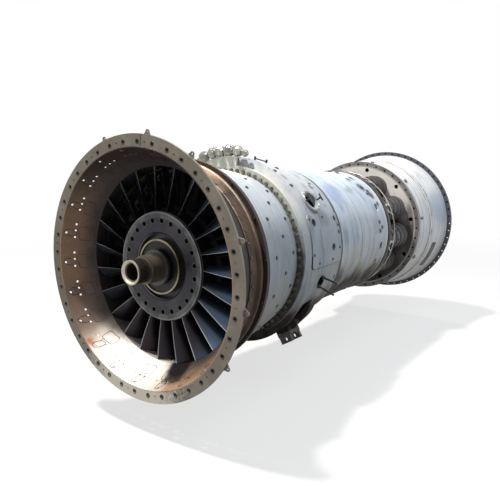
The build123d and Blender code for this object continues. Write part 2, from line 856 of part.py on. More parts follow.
# Screws of the flank cover
screw_feet = [radial_plane(station, angle, face - screw_spot_depth - screw_grip) for station, angle,
              face in cover_face]
with BuildPart() as cover_screws:
    hex_heads(screw_spots, screw_head_radius, screw_head_height)
    rods(screw_feet, screw_radius, screw_grip)
keep(cover_screws.part, "cover_screws")

# Latch studs on the rim of the port, each with a cross bar
with BuildPart() as port_latches:
    rods(latch_feet, latch_stud_radius, port_boss_height + latch_stud_reach)
    for station in latch_stations:
        middle = radial_plane(station, port_angle, port_face + latch_stud_reach)
        with Locations(middle):
            Cylinder(latch_bar_radius, latch_bar_length, rotation=(quarter_turn, 0, 0))
keep(port_latches.part, "port_latches")

# Long drain studs with a collar at the foot
drain_collars = [radial_plane(station, angle, mid_surface(station, angle) + drain_collar_lift)
                 for station, angle in drain_stud_places]
with BuildPart() as drain_studs:
    rods(drain_planes, drain_stud_radius, mid_wall + drain_stud_reach)
    rods(drain_collars, drain_collar_radius, drain_collar_height)
keep(drain_studs.part, "drain_studs")

# Lifting hoop: two posts with their feet in the casting and a thin bar between them
bar_start, bar_stop = [radial_plane(station, hoop_angle,
                                    mid_surface(station, hoop_angle) + hoop_bar_height).origin
                       for station in hoop_stations]
with BuildPart() as lifting_hoop:
    rods(hoop_feet, hoop_rod_radius, hoop_bolt_reach + hoop_post_height)
    with BuildSketch(Plane(origin=bar_start, z_dir=bar_stop - bar_start)) as bar_end:
        Circle(hoop_bar_radius)
    extrude(bar_end.sketch, amount=(bar_stop - bar_start).length)
keep(lifting_hoop.part, "lifting_hoop")

# Mount bracket on the lower pad: a base plate with two cheeks bored for a mount pin
bracket_plane = radial_plane(pad_station, pad_angle, pad_radius + seat_gap)
with BuildPart() as mount_bracket:
    with BuildSketch(bracket_plane) as base:
        RectangleRounded(pad_length, pad_width, pad_corner_radius)
    extrude(base.sketch, amount=bracket_plate)
    with BuildSketch(bracket_plane) as cheeks:
        with Locations((-(pad_length - bracket_cheek) / 2, 0), ((pad_length - bracket_cheek) / 2, 0)):
            Rectangle(bracket_cheek, pad_width - 2 * pad_corner_radius)
    extrude(cheeks.sketch, amount=bracket_reach)
    pin_plane = Plane(origin=bracket_plane.origin + bracket_plane.z_dir * (bracket_reach + bracket_plate) / 2,
                      x_dir=bracket_plane.z_dir, z_dir=Vector(0, 1, 0))
    with BuildSketch(pin_plane) as pin_hole:
        Circle(bracket_pin_hole_radius)
    extrude(pin_hole.sketch, amount=pad_length, both=True, mode=Mode.SUBTRACT)
    with BuildSketch(bracket_plane) as bracket_holes:
        with Locations(*pad_bolt_places):
            Circle(bracket_bolt_radius + seat_gap)
    extrude(bracket_holes.sketch, amount=bracket_reach + overrun, mode=Mode.SUBTRACT)
keep(mount_bracket.part, "mount_bracket")

# Vent pipe over the joint: an arc of tube with swollen unions
with BuildPart() as vent_pipe:
    with BuildSketch(Plane.XY) as pipe_section:
        with Locations((pipe_circle_radius, pipe_station)):
            Circle(pipe_radius)
            Circle(pipe_bore_radius, mode=Mode.SUBTRACT)
    revolve(pipe_section.sketch, axis=Axis.Y, revolution_arc=pipe_end - pipe_start)
vent_pipe_placed = vent_pipe.part.rotate(Axis.Y, -pipe_end)
keep(vent_pipe_placed, "vent_pipe")

# Unions of the vent pipe: short swollen sleeves strung along it
with BuildPart() as pipe_union:
    with BuildSketch(Plane.XY) as union_section:
        with BuildLine():
            Polyline((pipe_radius + union_gap, -union_half_length),
                     (union_radius * union_neck_share, -union_half_length),
                     (union_radius, -union_half_length * union_neck_share),
                     (union_radius, union_half_length * union_neck_share),
                     (union_radius * union_neck_share, union_half_length),
                     (pipe_radius + union_gap, union_half_length), close=True)
        make_face()
    revolve(union_section.sketch, axis=Axis.Y)
union_upright = pipe_union.part.rotate(Axis.X,
                                       quarter_turn).moved(Location((pipe_circle_radius, pipe_station, 0)))
with BuildPart() as pipe_unions:
    add([union_upright.rotate(Axis.Y, -angle) for angle in union_angles])
keep(pipe_unions.part, "pipe_unions")

# Clip plate: a curved plate on the rim of the joint flange, with saddles that reach up between the unions
clip_top_radius = pipe_circle_radius - union_radius - run_gap
with BuildPart() as clip_plate:
    with BuildSketch(Plane.XY) as clip_section:
        with Locations(((joint_flange_radius + seat_gap + clip_top_radius) / 2, pipe_station)):
            Rectangle(clip_top_radius - joint_flange_radius - seat_gap, clip_plate_thickness)
    revolve(clip_section.sketch, axis=Axis.Y, revolution_arc=clip_plate_span)
clip_plate_placed = clip_plate.part.rotate(Axis.Y, -(clip_plate_angle + clip_plate_span / 2))
saddle_height = pipe_circle_radius - pipe_radius - seat_gap - clip_top_radius + blade_embed
with BuildPart() as pipe_clip_plate:
    add(clip_plate_placed)
    with Locations(*[radial_plane(pipe_station, angle, clip_top_radius - blade_embed)
                     for angle in saddle_angles]):
        Box(clip_plate_thickness, saddle_width, saddle_height, align=stand_up)
keep(pipe_clip_plate.part, "pipe_clip_plate")

# Bolts of the mount bracket
bracket_bolt_plane = radial_plane(pad_station, pad_angle, pad_radius + seat_gap + bracket_plate)
with BuildPart() as bracket_bolts:
    with BuildSketch(bracket_bolt_plane) as bracket_heads:
        with Locations(*pad_bolt_places):
            RegularPolygon(bracket_bolt_head_radius, hex_sides)
    extrude(bracket_heads.sketch, amount=bracket_bolt_head_height)
    with BuildSketch(bracket_bolt_plane) as bracket_shanks:
        with Locations(*pad_bolt_places):
            Circle(bracket_bolt_radius)
    extrude(bracket_shanks.sketch, amount=-(bracket_plate + mid_wall))
keep(bracket_bolts.part, "bracket_bolts")

# Low-pressure stator vanes: six rows between the rotor rows
low_stator_stations = [low_first_rotor + low_row_pitch * (step - half_share)
                       for step in range(low_row_count + 1)]
low_half_vane = low_stator_chord / 2
with BuildPart() as low_compressor_vanes:
    add([stator_row(station, low_stator_chord, low_bore(station - low_half_vane),
                    low_bore(station + low_half_vane),
                    low_hub(station) + tip_gap, low_stator_vane_count) for station in low_stator_stations])
keep(low_compressor_vanes.part, "low_compressor_vanes")

# Bearing support frame inside the intermediate case: two rings, a hub with two bearing webs, and struts
frame_front, frame_rear = mid_front + frame_end_gap, high_front - frame_end_gap
frame_outer_radius = mid_bore_radius - seat_gap
frame_bore_radius = frame_outer_radius - frame_outer_wall
web_half = roller_length / 2 + frame_web_margin
hub_front, hub_rear = low_front_bearing - web_half, high_front_bearing + web_half
with BuildPart() as bearing_support_frame:
    tube(frame_bore_radius, frame_outer_radius, frame_front, frame_rear)
    tube(frame_inner_radius - frame_inner_wall, frame_inner_radius, frame_front, frame_rear)
    tube(frame_hub_radius - frame_hub_wall, frame_hub_radius, hub_front, hub_rear)
    tube(race_seat(low_journal_radius) + seat_gap, frame_hub_radius, hub_front,
         low_front_bearing + web_half)
    tube(race_seat(high_shaft_radius) + seat_gap, frame_hub_radius, high_front_bearing - web_half, hub_rear)
    strut_foot = frame_hub_radius - frame_hub_wall / 2
    strut_top = frame_bore_radius + frame_outer_wall / 2
    strut_length = frame_rear - frame_front - 2 * frame_strut_setback
    strut_middle = (frame_front + frame_rear) / 2
    with Locations(*[radial_plane(strut_middle, angle, strut_foot)
                     for angle in evenly(frame_strut_count, 0)]):
        Box(strut_length, frame_strut_thickness, strut_top - strut_foot, align=stand_up)
keep(bearing_support_frame.part, "bearing_support_frame")

# High-pressure case: a long plain shell with a front flange, shallow grooves, slots and a rear wall
slot_planes = [radial_plane(nozzle_slot_station, angle, high_rear_opening_radius)
               for angle in evenly(can_count, can_start)]
high_hole_planes = [radial_plane(high_hole_station, angle + offset, high_rear_opening_radius)
                  for angle in evenly(can_count, can_start) for offset in high_hole_offsets]
with BuildPart() as high_compressor_case:
    turn((high_front_bore_radius, high_front), (high_flange_radius, high_front),
         (high_flange_radius, high_front + high_flange_thickness),
         (high_front_radius, high_front + high_flange_thickness),
         (high_rear_radius, high_rear), (high_rear_opening_radius, high_rear),
         (high_rear_opening_radius, high_rear - high_rear_wall),
         (high_bore(high_rear - high_rear_wall), high_rear - high_rear_wall))
    for station in high_groove_stations:
        tube(high_surface(station) - high_groove_depth, high_flange_radius, station,
             station + high_groove_width,
             mode=Mode.SUBTRACT)
    with BuildSketch(*slot_planes) as slots:
        SlotOverall(nozzle_slot_length, nozzle_slot_width, rotation=quarter_turn)
    extrude(slots.sketch, amount=high_flange_radius - high_rear_opening_radius, mode=Mode.SUBTRACT)
    rods(high_hole_planes, high_hole_radius, high_flange_radius - high_rear_opening_radius,
         mode=Mode.SUBTRACT)
keep(high_compressor_case.part, "high_compressor_case")

# High-pressure stator vanes: one row behind each rotor row
high_rotor_stations = [high_first_rotor + high_row_pitch * step for step in range(high_row_count)]
high_half_vane = high_stator_chord / 2
high_stator_stations = [station + high_row_pitch * half_share for station in high_rotor_stations]
with BuildPart() as high_compressor_vanes:
    add([stator_row(station, high_stator_chord, high_bore(station - high_half_vane),
                    high_bore(station + high_half_vane),
                    high_hub(station) + tip_gap, high_stator_vane_count)
                    for station in high_stator_stations])
keep(high_compressor_vanes.part, "high_compressor_vanes")

# Diffuser plate behind the high-pressure case, with an air hole between each two flame tubes
diffuser_rear = high_rear + diffuser_thickness
with BuildPart() as diffuser_plate:
    tube(diffuser_bore_radius, diffuser_radius, high_rear + seat_gap, diffuser_rear)
    drill_around(high_rear, can_circle_radius, diffuser_hole_radius, can_count,
                 can_start + full_turn / can_count / 2,
                 diffuser_thickness + overrun)
keep(diffuser_plate.part, "diffuser_plate")

# Fuel manifold: a closed ring of tube
manifold_station = diffuser_rear + manifold_setback
with BuildPart() as fuel_manifold:
    with BuildSketch(Plane.XY) as manifold_section:
        with Locations((manifold_circle_radius, manifold_station)):
            Circle(manifold_tube_radius)
            Circle(manifold_tube_radius - can_sheet, mode=Mode.SUBTRACT)
    revolve(manifold_section.sketch, axis=Axis.Y)
keep(fuel_manifold.part, "fuel_manifold")

# Fuel nozzles: a stem from the manifold down to a tip inside each flame tube's snout
with BuildPart() as fuel_nozzle:
    rods([radial_plane(manifold_station, 0, can_circle_radius)], nozzle_stem_radius,
         manifold_circle_radius - manifold_tube_radius - seat_gap - can_circle_radius)
    with BuildSketch(front_plane(diffuser_rear + seat_gap)) as tip_end:
        with Locations((can_circle_radius, 0)):
            Circle(nozzle_tip_radius)
    extrude(tip_end.sketch, amount=-nozzle_tip_length)
with BuildPart() as fuel_nozzles:
    add(around_axis(fuel_nozzle.part, can_count, can_start))
keep(fuel_nozzles.part, "fuel_nozzles")

# Flame tubes: stepped sheet cans with a snout, a dome, five rings and a narrower exit
can_front = high_rear + can_front_gap
can_rear = turbine_front + plate_thickness
rings_front = can_front + can_dome_length
rings_rear = can_rear - can_exit_length
ring_pitch = (rings_rear - rings_front) / len(can_ring_radii)
can_outside = [(can_snout_radius, can_front), (can_dome_radius, can_front + can_dome_length / 2)]
can_inside = [(can_snout_radius - can_sheet, can_front),
              (can_dome_radius - can_sheet, can_front + can_dome_length / 2 + can_sheet)]
for step, ring_radius in enumerate(can_ring_radii):
    ring_start = rings_front + ring_pitch * step
    can_outside += [(ring_radius, ring_start), (ring_radius, ring_start + ring_pitch)]
    can_inside += [(ring_radius - can_sheet, ring_start + can_sheet),
                   (ring_radius - can_sheet, ring_start + ring_pitch + can_sheet)]
can_inside[-1] = (can_ring_radii[-1] - can_sheet, rings_rear - can_sheet)
can_outside += [(can_exit_radius, rings_rear), (can_exit_radius, can_rear)]
can_inside += [(can_exit_radius - can_sheet, rings_rear - can_sheet),
               (can_exit_radius - can_sheet, can_rear)]
can_points = [(can_circle_radius + radius, station) for radius, station in can_outside + can_inside[::-1]]
can_axis = Axis((can_circle_radius, 0, 0), (0, 1, 0))
can_hole_station = rings_front + ring_pitch * can_hole_step_share
with BuildPart() as flame_tube:
    with BuildSketch(Plane.XY):
        with BuildLine():
            Polyline(*can_points, close=True)
        make_face()
    revolve(axis=can_axis)
    for angle in evenly(can_hole_count, 0):
        outwards = Vector(cos(radians(angle)), 0, sin(radians(angle)))
        with BuildSketch(Plane(origin=(can_circle_radius, can_hole_station, 0), x_dir=(0, 1, 0),
                               z_dir=outwards)):
            Circle(can_hole_radius)
        extrude(amount=can_ring_radii[-1] + overrun, mode=Mode.SUBTRACT)
with BuildPart() as flame_tubes:
    add(around_axis(flame_tube.part, can_count, can_start))
keep(flame_tubes.part, "flame_tubes")

# Cross tubes that join each flame tube to the next
half_step = radians(full_turn / can_count / 2)
cross_station = rings_front + ring_pitch * cross_step_share
cross_half_length = can_circle_radius * sin(half_step) - can_ring_radii[1] - run_gap
cross_plane = Plane(origin=(can_circle_radius * cos(half_step), cross_station, 0), x_dir=(1, 0, 0),
                    z_dir=(0, 0, 1))
with BuildPart() as cross_tube:
    with BuildSketch(cross_plane):
        Circle(cross_tube_radius)
        Circle(cross_tube_radius - can_sheet, mode=Mode.SUBTRACT)
    extrude(amount=cross_half_length, both=True)
with BuildPart() as cross_tubes:
    add(around_axis(cross_tube.part, can_count, can_start + full_turn / can_count / 2))
keep(cross_tubes.part, "cross_tubes")

# Burner inner case: a plain tube round the shafts that carries a bearing
inner_case_bore = race_seat(high_shaft_radius) + seat_gap
inner_case_radius = inner_case_bore + inner_case_wall
with BuildPart() as burner_inner_case:
    tube(inner_case_bore, inner_case_radius, diffuser_rear + seat_gap, can_rear)
keep(burner_inner_case.part, "burner_inner_case")

# Burner rear plate, in the bore of the turbine case's rim, with an opening for each flame tube
with BuildPart() as burner_rear_plate:
    tube(inner_case_radius + seat_gap, plate_radius, turbine_front, can_rear)
    drill_around(turbine_front, can_circle_radius, can_exit_radius + seat_gap, can_count, can_start,
                 plate_thickness)
    drill_around(turbine_front, plate_hole_circle_radius, plate_hole_radius, can_count, plug_start,
                 plate_thickness)
keep(burner_rear_plate.part, "burner_rear_plate")

# Turbine case: a flaring shell with a bolted rim, two raised bands and the rear flange
rim_rear = turbine_front + rim_thickness
flange_front = turbine_rear - rear_flange_thickness
plug_band_rear = plug_band_station + plug_band_width
stain_band_rear = stain_band_station + stain_band_width
plug_station = plug_band_station + plug_band_width * plug_place_share
plug_face = turbine_surface(plug_station) + band_height - plug_seat_depth
plug_planes = [radial_plane(plug_station, angle, plug_face) for angle in evenly(plug_count, plug_start)]
plug_feet = [radial_plane(plug_station, angle, plug_face - plug_grip)
             for angle in evenly(plug_count, plug_start)]
with BuildPart() as turbine_case:
    turn((rim_bore_radius, turbine_front), (rim_radius, turbine_front), (rim_radius, rim_rear),
         (turbine_surface(rim_rear), rim_rear), (turbine_surface(plug_band_station), plug_band_station),
         (turbine_surface(plug_band_station) + band_height, plug_band_station),
         (turbine_surface(plug_band_rear) + band_height, plug_band_rear),
         (turbine_surface(plug_band_rear), plug_band_rear),
         (turbine_surface(stain_band_station), stain_band_station),
         (turbine_surface(stain_band_station) + band_height, stain_band_station),
         (turbine_surface(stain_band_rear) + band_height, stain_band_rear),
         (turbine_surface(stain_band_rear), stain_band_rear), (turbine_surface(flange_front), flange_front),
         (rear_flange_radius, flange_front), (rear_flange_radius, turbine_rear),
         (turbine_bore(turbine_rear), turbine_rear), (turbine_bore(rim_rear), rim_rear),
         (rim_bore_radius, rim_rear))
    drill_around(turbine_front, rim_circle_radius, rim_hole_radius, rim_hole_count, rim_hole_start,
                 rim_thickness)
    drill_around(flange_front, rear_circle_radius, rear_hole_radius, rear_hole_count, rear_hole_start,
                 rear_flange_thickness)
    rods(plug_planes, plug_head_radius + run_gap, overrun, mode=Mode.SUBTRACT)
    rods(plug_feet, plug_radius + seat_gap, plug_grip, mode=Mode.SUBTRACT)
keep(turbine_case.part, "turbine_case")

# Plugs in the front band of the turbine case
with BuildPart() as turbine_plugs:
    hex_heads(plug_planes, plug_head_radius, plug_head_height)
    rods(plug_feet, plug_radius, plug_grip)
keep(turbine_plugs.part, "turbine_plugs")

# Turbine nozzle vanes: one row ahead of each turbine rotor
turbine_vane_stations = [turbine_first_vane + turbine_stage_pitch * step
                         for step in range(turbine_stage_count)]
turbine_blade_stations = [station + turbine_vane_to_blade for station in turbine_vane_stations]
turbine_half_vane = turbine_vane_chord / 2
with BuildPart() as turbine_nozzle_vanes:
    add([stator_row(station, turbine_vane_chord, turbine_bore(station - turbine_half_vane),
                    turbine_bore(station + turbine_half_vane), turbine_hub_radius + tip_gap,
                    turbine_vane_count)
         for station in turbine_vane_stations])
keep(turbine_nozzle_vanes.part, "turbine_nozzle_vanes")

# Exhaust frame: an outer ring, a bearing hub and the struts between them
exhaust_front = low_rear_bearing - exhaust_length / 2
exhaust_rear = low_rear_bearing + exhaust_length / 2
exhaust_radius = turbine_bore(exhaust_front) - seat_gap
exhaust_hub_bore = race_seat(low_shaft_radius) + seat_gap
exhaust_hub_radius = exhaust_hub_bore + exhaust_hub_wall
with BuildPart() as exhaust_frame:
    tube(exhaust_radius - exhaust_wall, exhaust_radius, exhaust_front, exhaust_rear)
    tube(exhaust_hub_bore, exhaust_hub_radius, exhaust_front, exhaust_rear)
    exhaust_foot = exhaust_hub_radius - blade_embed
    exhaust_top = exhaust_radius - exhaust_wall + blade_embed
    with Locations(*[radial_plane(low_rear_bearing, angle, exhaust_foot)
                     for angle in evenly(frame_strut_count, 0)]):
        Box(exhaust_length - overrun, exhaust_strut_thickness, exhaust_top - exhaust_foot, align=stand_up)
keep(exhaust_frame.part, "exhaust_frame")

# Rear bearing cover: a shallow cap on the hub of the exhaust frame
with BuildPart() as rear_bearing_cover:
    tube(0, exhaust_hub_radius, exhaust_rear + seat_gap, turbine_rear)
keep(rear_bearing_cover.part, "rear_bearing_cover")

# Roller bearings: an outer race and a set of rollers for each end of each spool
keep(outer_race(low_front_bearing, low_journal_radius), "low_front_race")
keep(outer_race(high_front_bearing, high_shaft_radius), "high_front_race")
keep(outer_race(high_rear_bearing, high_shaft_radius), "high_rear_race")
keep(outer_race(low_rear_bearing, low_shaft_radius), "low_rear_race")
keep(roller_set(low_front_bearing, low_journal_radius), "low_front_rollers")
keep(roller_set(high_front_bearing, high_shaft_radius), "high_front_rollers")
keep(roller_set(high_rear_bearing, high_shaft_radius), "high_rear_rollers")
keep(roller_set(low_rear_bearing, low_shaft_radius), "low_rear_rollers")

# Drive shaft: a bored and splined nose, a thread, a journal, a collar and a flange at the rear
drive_rear = drive_flange_station + drive_flange_thickness
with BuildPart() as drive_shaft:
    turn((drive_bore_radius + drive_lip_chamfer, drive_front), (drive_lip_radius, drive_front),
         (drive_lip_radius, drive_front + drive_lip_length),
         (spline_root_radius, drive_front + drive_lip_length),
         (spline_root_radius, spline_end), (thread_radius, spline_end),
         (thread_radius, spline_end + thread_length),
         (journal_radius, spline_end + thread_length), (journal_radius, journal_end),
         (journal_radius, collar_station), (collar_radius, collar_station),
         (collar_radius, collar_station + collar_length), (journal_radius, collar_station + collar_length),
         (journal_radius, drive_flange_station), (drive_flange_radius, drive_flange_station),
         (drive_flange_radius, drive_rear), (drive_bore_radius, drive_rear),
         (drive_bore_radius, drive_front + drive_lip_chamfer))
    spline_width = spline_root_radius * radians(full_turn / spline_count) * half_share
    spline_front = drive_front + drive_lip_length
    spline_planes = [radial_plane((spline_front + spline_end) / 2, angle, spline_root_radius - blade_embed)
                     for angle in evenly(spline_count, 0)]
    with Locations(*spline_planes):
        Box(spline_end - spline_front, spline_width, spline_tip_radius - spline_root_radius + blade_embed,
            align=stand_up)
keep(drive_shaft.part, "drive_shaft")

# Hub plate: a flat bolted ring over the front of the first disc
hub_rear_face = hub_station + hub_plate_thickness
with BuildPart() as hub_plate:
    turn((hub_plate_bore_radius + hub_plate_chamfer, hub_station), (hub_plate_radius, hub_station),
         (hub_plate_radius, hub_rear_face), (hub_plate_bore_radius, hub_rear_face),
         (hub_plate_bore_radius, hub_station + hub_plate_chamfer))
    drill_around(hub_station, hub_hole_circle_radius, hub_hole_radius, hub_hole_count, hub_hole_start,
                 hub_plate_thickness)
keep(hub_plate.part, "hub_plate")

# Seal ring between the drive shaft's flange and the first disc
with BuildPart() as hub_seal_ring:
    tube(seal_radius - seal_wall, seal_radius, seal_front, disc_rear)
keep(hub_seal_ring.part, "hub_seal_ring")

# First disc, with a groove in front of it round the seal ring
disc_front = hub_rear_face + seat_gap
with BuildPart() as low_stage_1_disc:
    turn((hub_plate_bore_radius, disc_front), (disc_radius, disc_front), (disc_radius, disc_rear),
         (seal_radius + seat_gap, disc_rear), (seal_radius + seat_gap, disc_front + seal_groove_depth),
         (hub_plate_bore_radius, disc_front + seal_groove_depth))
    drill_around(disc_front, hub_hole_circle_radius, hub_hole_radius, hub_hole_count, hub_hole_start,
                 seal_groove_depth)
keep(low_stage_1_disc.part, "low_stage_1_disc")

# First row of blades: twisted, each its own piece on the disc's rim
blade_tip_radius = throat_radius - tip_gap
blade_radii = (blade_root_radius, (blade_root_radius + blade_tip_radius) / 2, blade_tip_radius)
with BuildPart() as stage_1_blade:
    for radius, chord, thickness, stagger in zip(blade_radii, blade_chords, blade_thicknesses,
                                                 blade_staggers):
        middle = blade_lead_station + chord / 2 * cos(radians(stagger))
        along = Vector(0, cos(radians(stagger)), sin(radians(stagger)))
        bow = chord * blade_camber_share
        with BuildSketch(Plane(origin=(radius, middle, 0), x_dir=along, z_dir=(1, 0, 0))):
            with BuildLine():
                ThreePointArc((-chord / 2, 0), (0, bow + thickness / 2), (chord / 2, 0))
                ThreePointArc((chord / 2, 0), (0, bow - thickness / 2), (-chord / 2, 0))
            make_face()
    loft()
with BuildPart() as stage_1_blades:
    add(around_axis(stage_1_blade.part, blade_count, blade_start))
keep(stage_1_blades.part, "stage_1_blades")

# Drum of the low-pressure compressor, with a web at each end
drum_front, drum_rear = disc_rear + seat_gap, mid_front - drum_end_gap
with BuildPart() as low_compressor_drum:
    tube(drum_radius - drum_wall, drum_radius, drum_front, drum_rear)
    tube(low_shaft_radius + seat_gap, drum_radius, drum_front, drum_front + drum_web)
    tube(low_shaft_radius + seat_gap, drum_radius, drum_rear - drum_web, drum_rear)
keep(low_compressor_drum.part, "low_compressor_drum")

# Bladed rims on the low-pressure drum
low_rotor_stations = [low_first_rotor + low_row_pitch * step for step in range(low_row_count)]
with BuildPart() as low_compressor_blades:
    add([rotor_row(station, low_rotor_chord, drum_radius + seat_gap, low_hub(station),
                   low_bore(station + low_rotor_chord / 2) - tip_gap, low_rotor_blade_count)
         for station in low_rotor_stations])
keep(low_compressor_blades.part, "low_compressor_blades")

# Low-pressure shaft: the long inner shaft from the drive flange to the rear bearing
low_shaft_front = drive_rear + seat_gap
low_journal_half = roller_length / 2 + frame_web_margin
with BuildPart() as low_shaft:
    tube(low_shaft_bore_radius, low_shaft_radius, low_shaft_front, low_rear_bearing + roller_length / 2)
    tube(low_shaft_bore_radius, drive_flange_radius, low_shaft_front,
         low_shaft_front + low_shaft_flange_thickness)
    tube(low_shaft_bore_radius, low_journal_radius, low_front_bearing - low_journal_half,
         low_front_bearing + low_journal_half)
keep(low_shaft.part, "low_shaft")

# Low-pressure turbine: three discs on the shaft and their bladed rims
turbine_disc_radius = turbine_hub_radius - turbine_rim
with BuildPart() as low_turbine_discs:
    add([turbine_disc(station, turbine_blade_chord, low_shaft_radius + seat_gap, turbine_disc_radius)
         for station in turbine_blade_stations[1:]])
keep(low_turbine_discs.part, "low_turbine_discs")
with BuildPart() as low_turbine_blades:
    add([rotor_row(station, turbine_blade_chord, turbine_disc_radius + seat_gap, turbine_hub_radius,
                   turbine_bore(station - turbine_blade_chord / 2) - tip_gap, turbine_blade_count)
         for station in turbine_blade_stations[1:]])
keep(low_turbine_blades.part, "low_turbine_blades")

# High-pressure shaft, drum, bladed rims, turbine disc and turbine blades
high_turbine_station = turbine_blade_stations[0]
with BuildPart() as high_shaft:
    tube(high_shaft_bore_radius, high_shaft_radius, high_shaft_front,
         high_turbine_station + turbine_blade_chord)
keep(high_shaft.part, "high_shaft")
high_drum_rear = high_stator_stations[-1] + high_half_vane
with BuildPart() as high_compressor_drum:
    tube(high_drum_radius - drum_wall, high_drum_radius, high_drum_front, high_drum_rear)
    tube(high_shaft_radius + seat_gap, high_drum_radius, high_drum_front, high_drum_front + drum_web)
    tube(high_shaft_radius + seat_gap, high_drum_radius, high_drum_rear - drum_web, high_drum_rear)
keep(high_compressor_drum.part, "high_compressor_drum")
with BuildPart() as high_compressor_blades:
    add([rotor_row(station, high_rotor_chord, high_drum_radius + seat_gap, high_hub(station),
                   high_bore(station + high_rotor_chord / 2) - tip_gap, high_rotor_blade_count)
         for station in high_rotor_stations])
keep(high_compressor_blades.part, "high_compressor_blades")
keep(turbine_disc(high_turbine_station, turbine_blade_chord, high_shaft_radius + seat_gap,
                  turbine_disc_radius),
     "high_turbine_disc")
keep(rotor_row(high_turbine_station, turbine_blade_chord, turbine_disc_radius + seat_gap,
               turbine_hub_radius,
               turbine_bore(high_turbine_station - turbine_blade_chord / 2) - tip_gap, turbine_blade_count),
     "high_turbine_blades")
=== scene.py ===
"""Dress the turboprop engine: finishes for its solids, small fittings, studio and camera."""
import logging
from dataclasses import dataclass, replace
from enum import Enum
from math import cos, hypot, pi, radians, sin
from typing import Callable, ClassVar

import bmesh
import bpy
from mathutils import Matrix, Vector


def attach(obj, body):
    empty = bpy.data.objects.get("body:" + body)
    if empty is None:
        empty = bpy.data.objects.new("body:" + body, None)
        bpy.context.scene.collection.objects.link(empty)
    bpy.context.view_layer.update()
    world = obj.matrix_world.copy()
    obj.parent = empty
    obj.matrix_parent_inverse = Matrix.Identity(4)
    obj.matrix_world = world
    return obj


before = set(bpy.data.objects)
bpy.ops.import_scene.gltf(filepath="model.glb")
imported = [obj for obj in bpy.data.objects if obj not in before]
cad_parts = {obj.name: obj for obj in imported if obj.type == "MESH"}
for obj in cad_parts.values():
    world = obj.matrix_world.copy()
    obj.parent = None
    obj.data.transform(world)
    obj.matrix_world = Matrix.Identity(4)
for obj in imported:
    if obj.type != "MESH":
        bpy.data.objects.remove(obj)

LOG = logging.getLogger("turboprop")
Number = float | int
Pair = tuple[float, float]
Triple = tuple[float, float, float]
Link = bpy.types.NodeSocket

# Turn that makes a shape drawn in the XY plane face along the engine
FACE_FRONT: Triple = (pi / 2, 0.0, 0.0)
BLACK: Triple = (0.015, 0.014, 0.014)
# Sooty near-black, also used for painted shade
SOOT_AND_SHADE: Triple = (0.045, 0.038, 0.034)
TAN: Triple = (0.30, 0.25, 0.18)


class Body(Enum):
    """Rigid bodies of the engine that added pieces ride on."""

    CASING = "casing"
    LOW_SPOOL = "low_spool"


class Measure(Enum):
    """What a coloured mark is placed by."""

    STATION = "along"
    RADIUS = "reach"


def maths(operation: str, swapped: bool = False) -> Callable[..., "Sum"]:
    """A method of Sum that adds a Math node.

    Args:
        operation: name of the Math node's operation.
        swapped: whether the method's own number is the second term.

    Returns:
        The method.
    """
    def method(self: "Sum", other: "Sum | Number" = 0.0) -> "Sum":
        """Add the node and give its result."""
        terms = (other, self) if swapped else (self, other)
        made = self.kit.node("ShaderNodeMath", {"operation": operation}, dict(enumerate(terms)))
        return Sum(self.kit, made.outputs[0])

    return method


class Sum:
    """A number on a node socket that can be used in Python sums."""

    def __init__(self, kit: "NodeKit", socket: Link) -> None:
        self.kit = kit
        self.socket = socket

    __add__ = __radd__ = maths("ADD")
    __sub__ = maths("SUBTRACT")
    __rsub__ = maths("SUBTRACT", swapped=True)
    __mul__ = __rmul__ = maths("MULTIPLY")
    __truediv__ = maths("DIVIDE")
    __rtruediv__ = maths("DIVIDE", swapped=True)
    __pow__ = maths("POWER")
    __abs__ = maths("ABSOLUTE")
    root = maths("SQRT")
    cosine = maths("COSINE")
    sine = maths("SINE")
    larger = maths("MAXIMUM")

    def rise(self, low: float, high: float) -> "Sum":
        """Smooth step from 0 at low to 1 at high; high may be below low."""
        made = self.kit.node("ShaderNodeMapRange", {"interpolation_type": "SMOOTHSTEP"},
                             {"Value": self, "From Min": low, "From Max": high})
        return Sum(self.kit, made.outputs["Result"])


class NodeKit:
    """Adds nodes to one node tree."""

    def __init__(self, tree: bpy.types.NodeTree) -> None:
        """Keep the tree that the nodes go into."""
        self.tree = tree

    def node(self, kind: str, settings: dict | None = None, sockets: dict | None = None) -> bpy.types.Node:
        """Add a node.

        Args:
            kind: type name of the node.
            settings: attributes of the node, set first.
            sockets: values or links of its inputs, by name or number.

        Returns:
            The new node.
        """
        made = self.tree.nodes.new(kind)
        for key, value in (settings or {}).items():
            setattr(made, key, value)
        for key, value in (sockets or {}).items():
            for entry in value if isinstance(value, list) else [value]:
                source = entry.socket if isinstance(entry, Sum) else entry
                if isinstance(source, Link):
                    self.tree.links.new(source, made.inputs[key])
                else:
                    made.inputs[key].default_value = source
        return made

    def number(self, value: Number) -> Sum:
        """A fixed number on a socket."""
        made = self.node("ShaderNodeValue")
        made.outputs[0].default_value = value
        return Sum(self, made.outputs[0])

    def parts(self, vector: Link) -> tuple[Sum, Sum, Sum]:
        """The x, y and z of a vector."""
        made = self.node("ShaderNodeSeparateXYZ", None, {0: vector})
        return tuple(Sum(self, output) for output in made.outputs)

    def rays_shown(self) -> Sum:
        """1 for rays that show a thing to the camera, straight or in a reflection, else 0."""
        path = self.node("ShaderNodeLightPath")
        straight, mirrored, through = (Sum(self, path.outputs[f"Is {kind} Ray"])
                                       for kind in ("Camera", "Glossy", "Transmission"))
        return straight.larger(mirrored).larger(through)


@dataclass(frozen=True)
class Grain:
    """A noise on Object coordinates, with values about 0.5.

    Attributes:
        scale: features per metre.
        detail: octaves.
        stretch: factor along each axis.
        shift: offset that makes one noise differ from another.
    """

    scale: float
    detail: float = 3.0
    stretch: Triple = (1.0, 1.0, 1.0)
    shift: float = 0.0


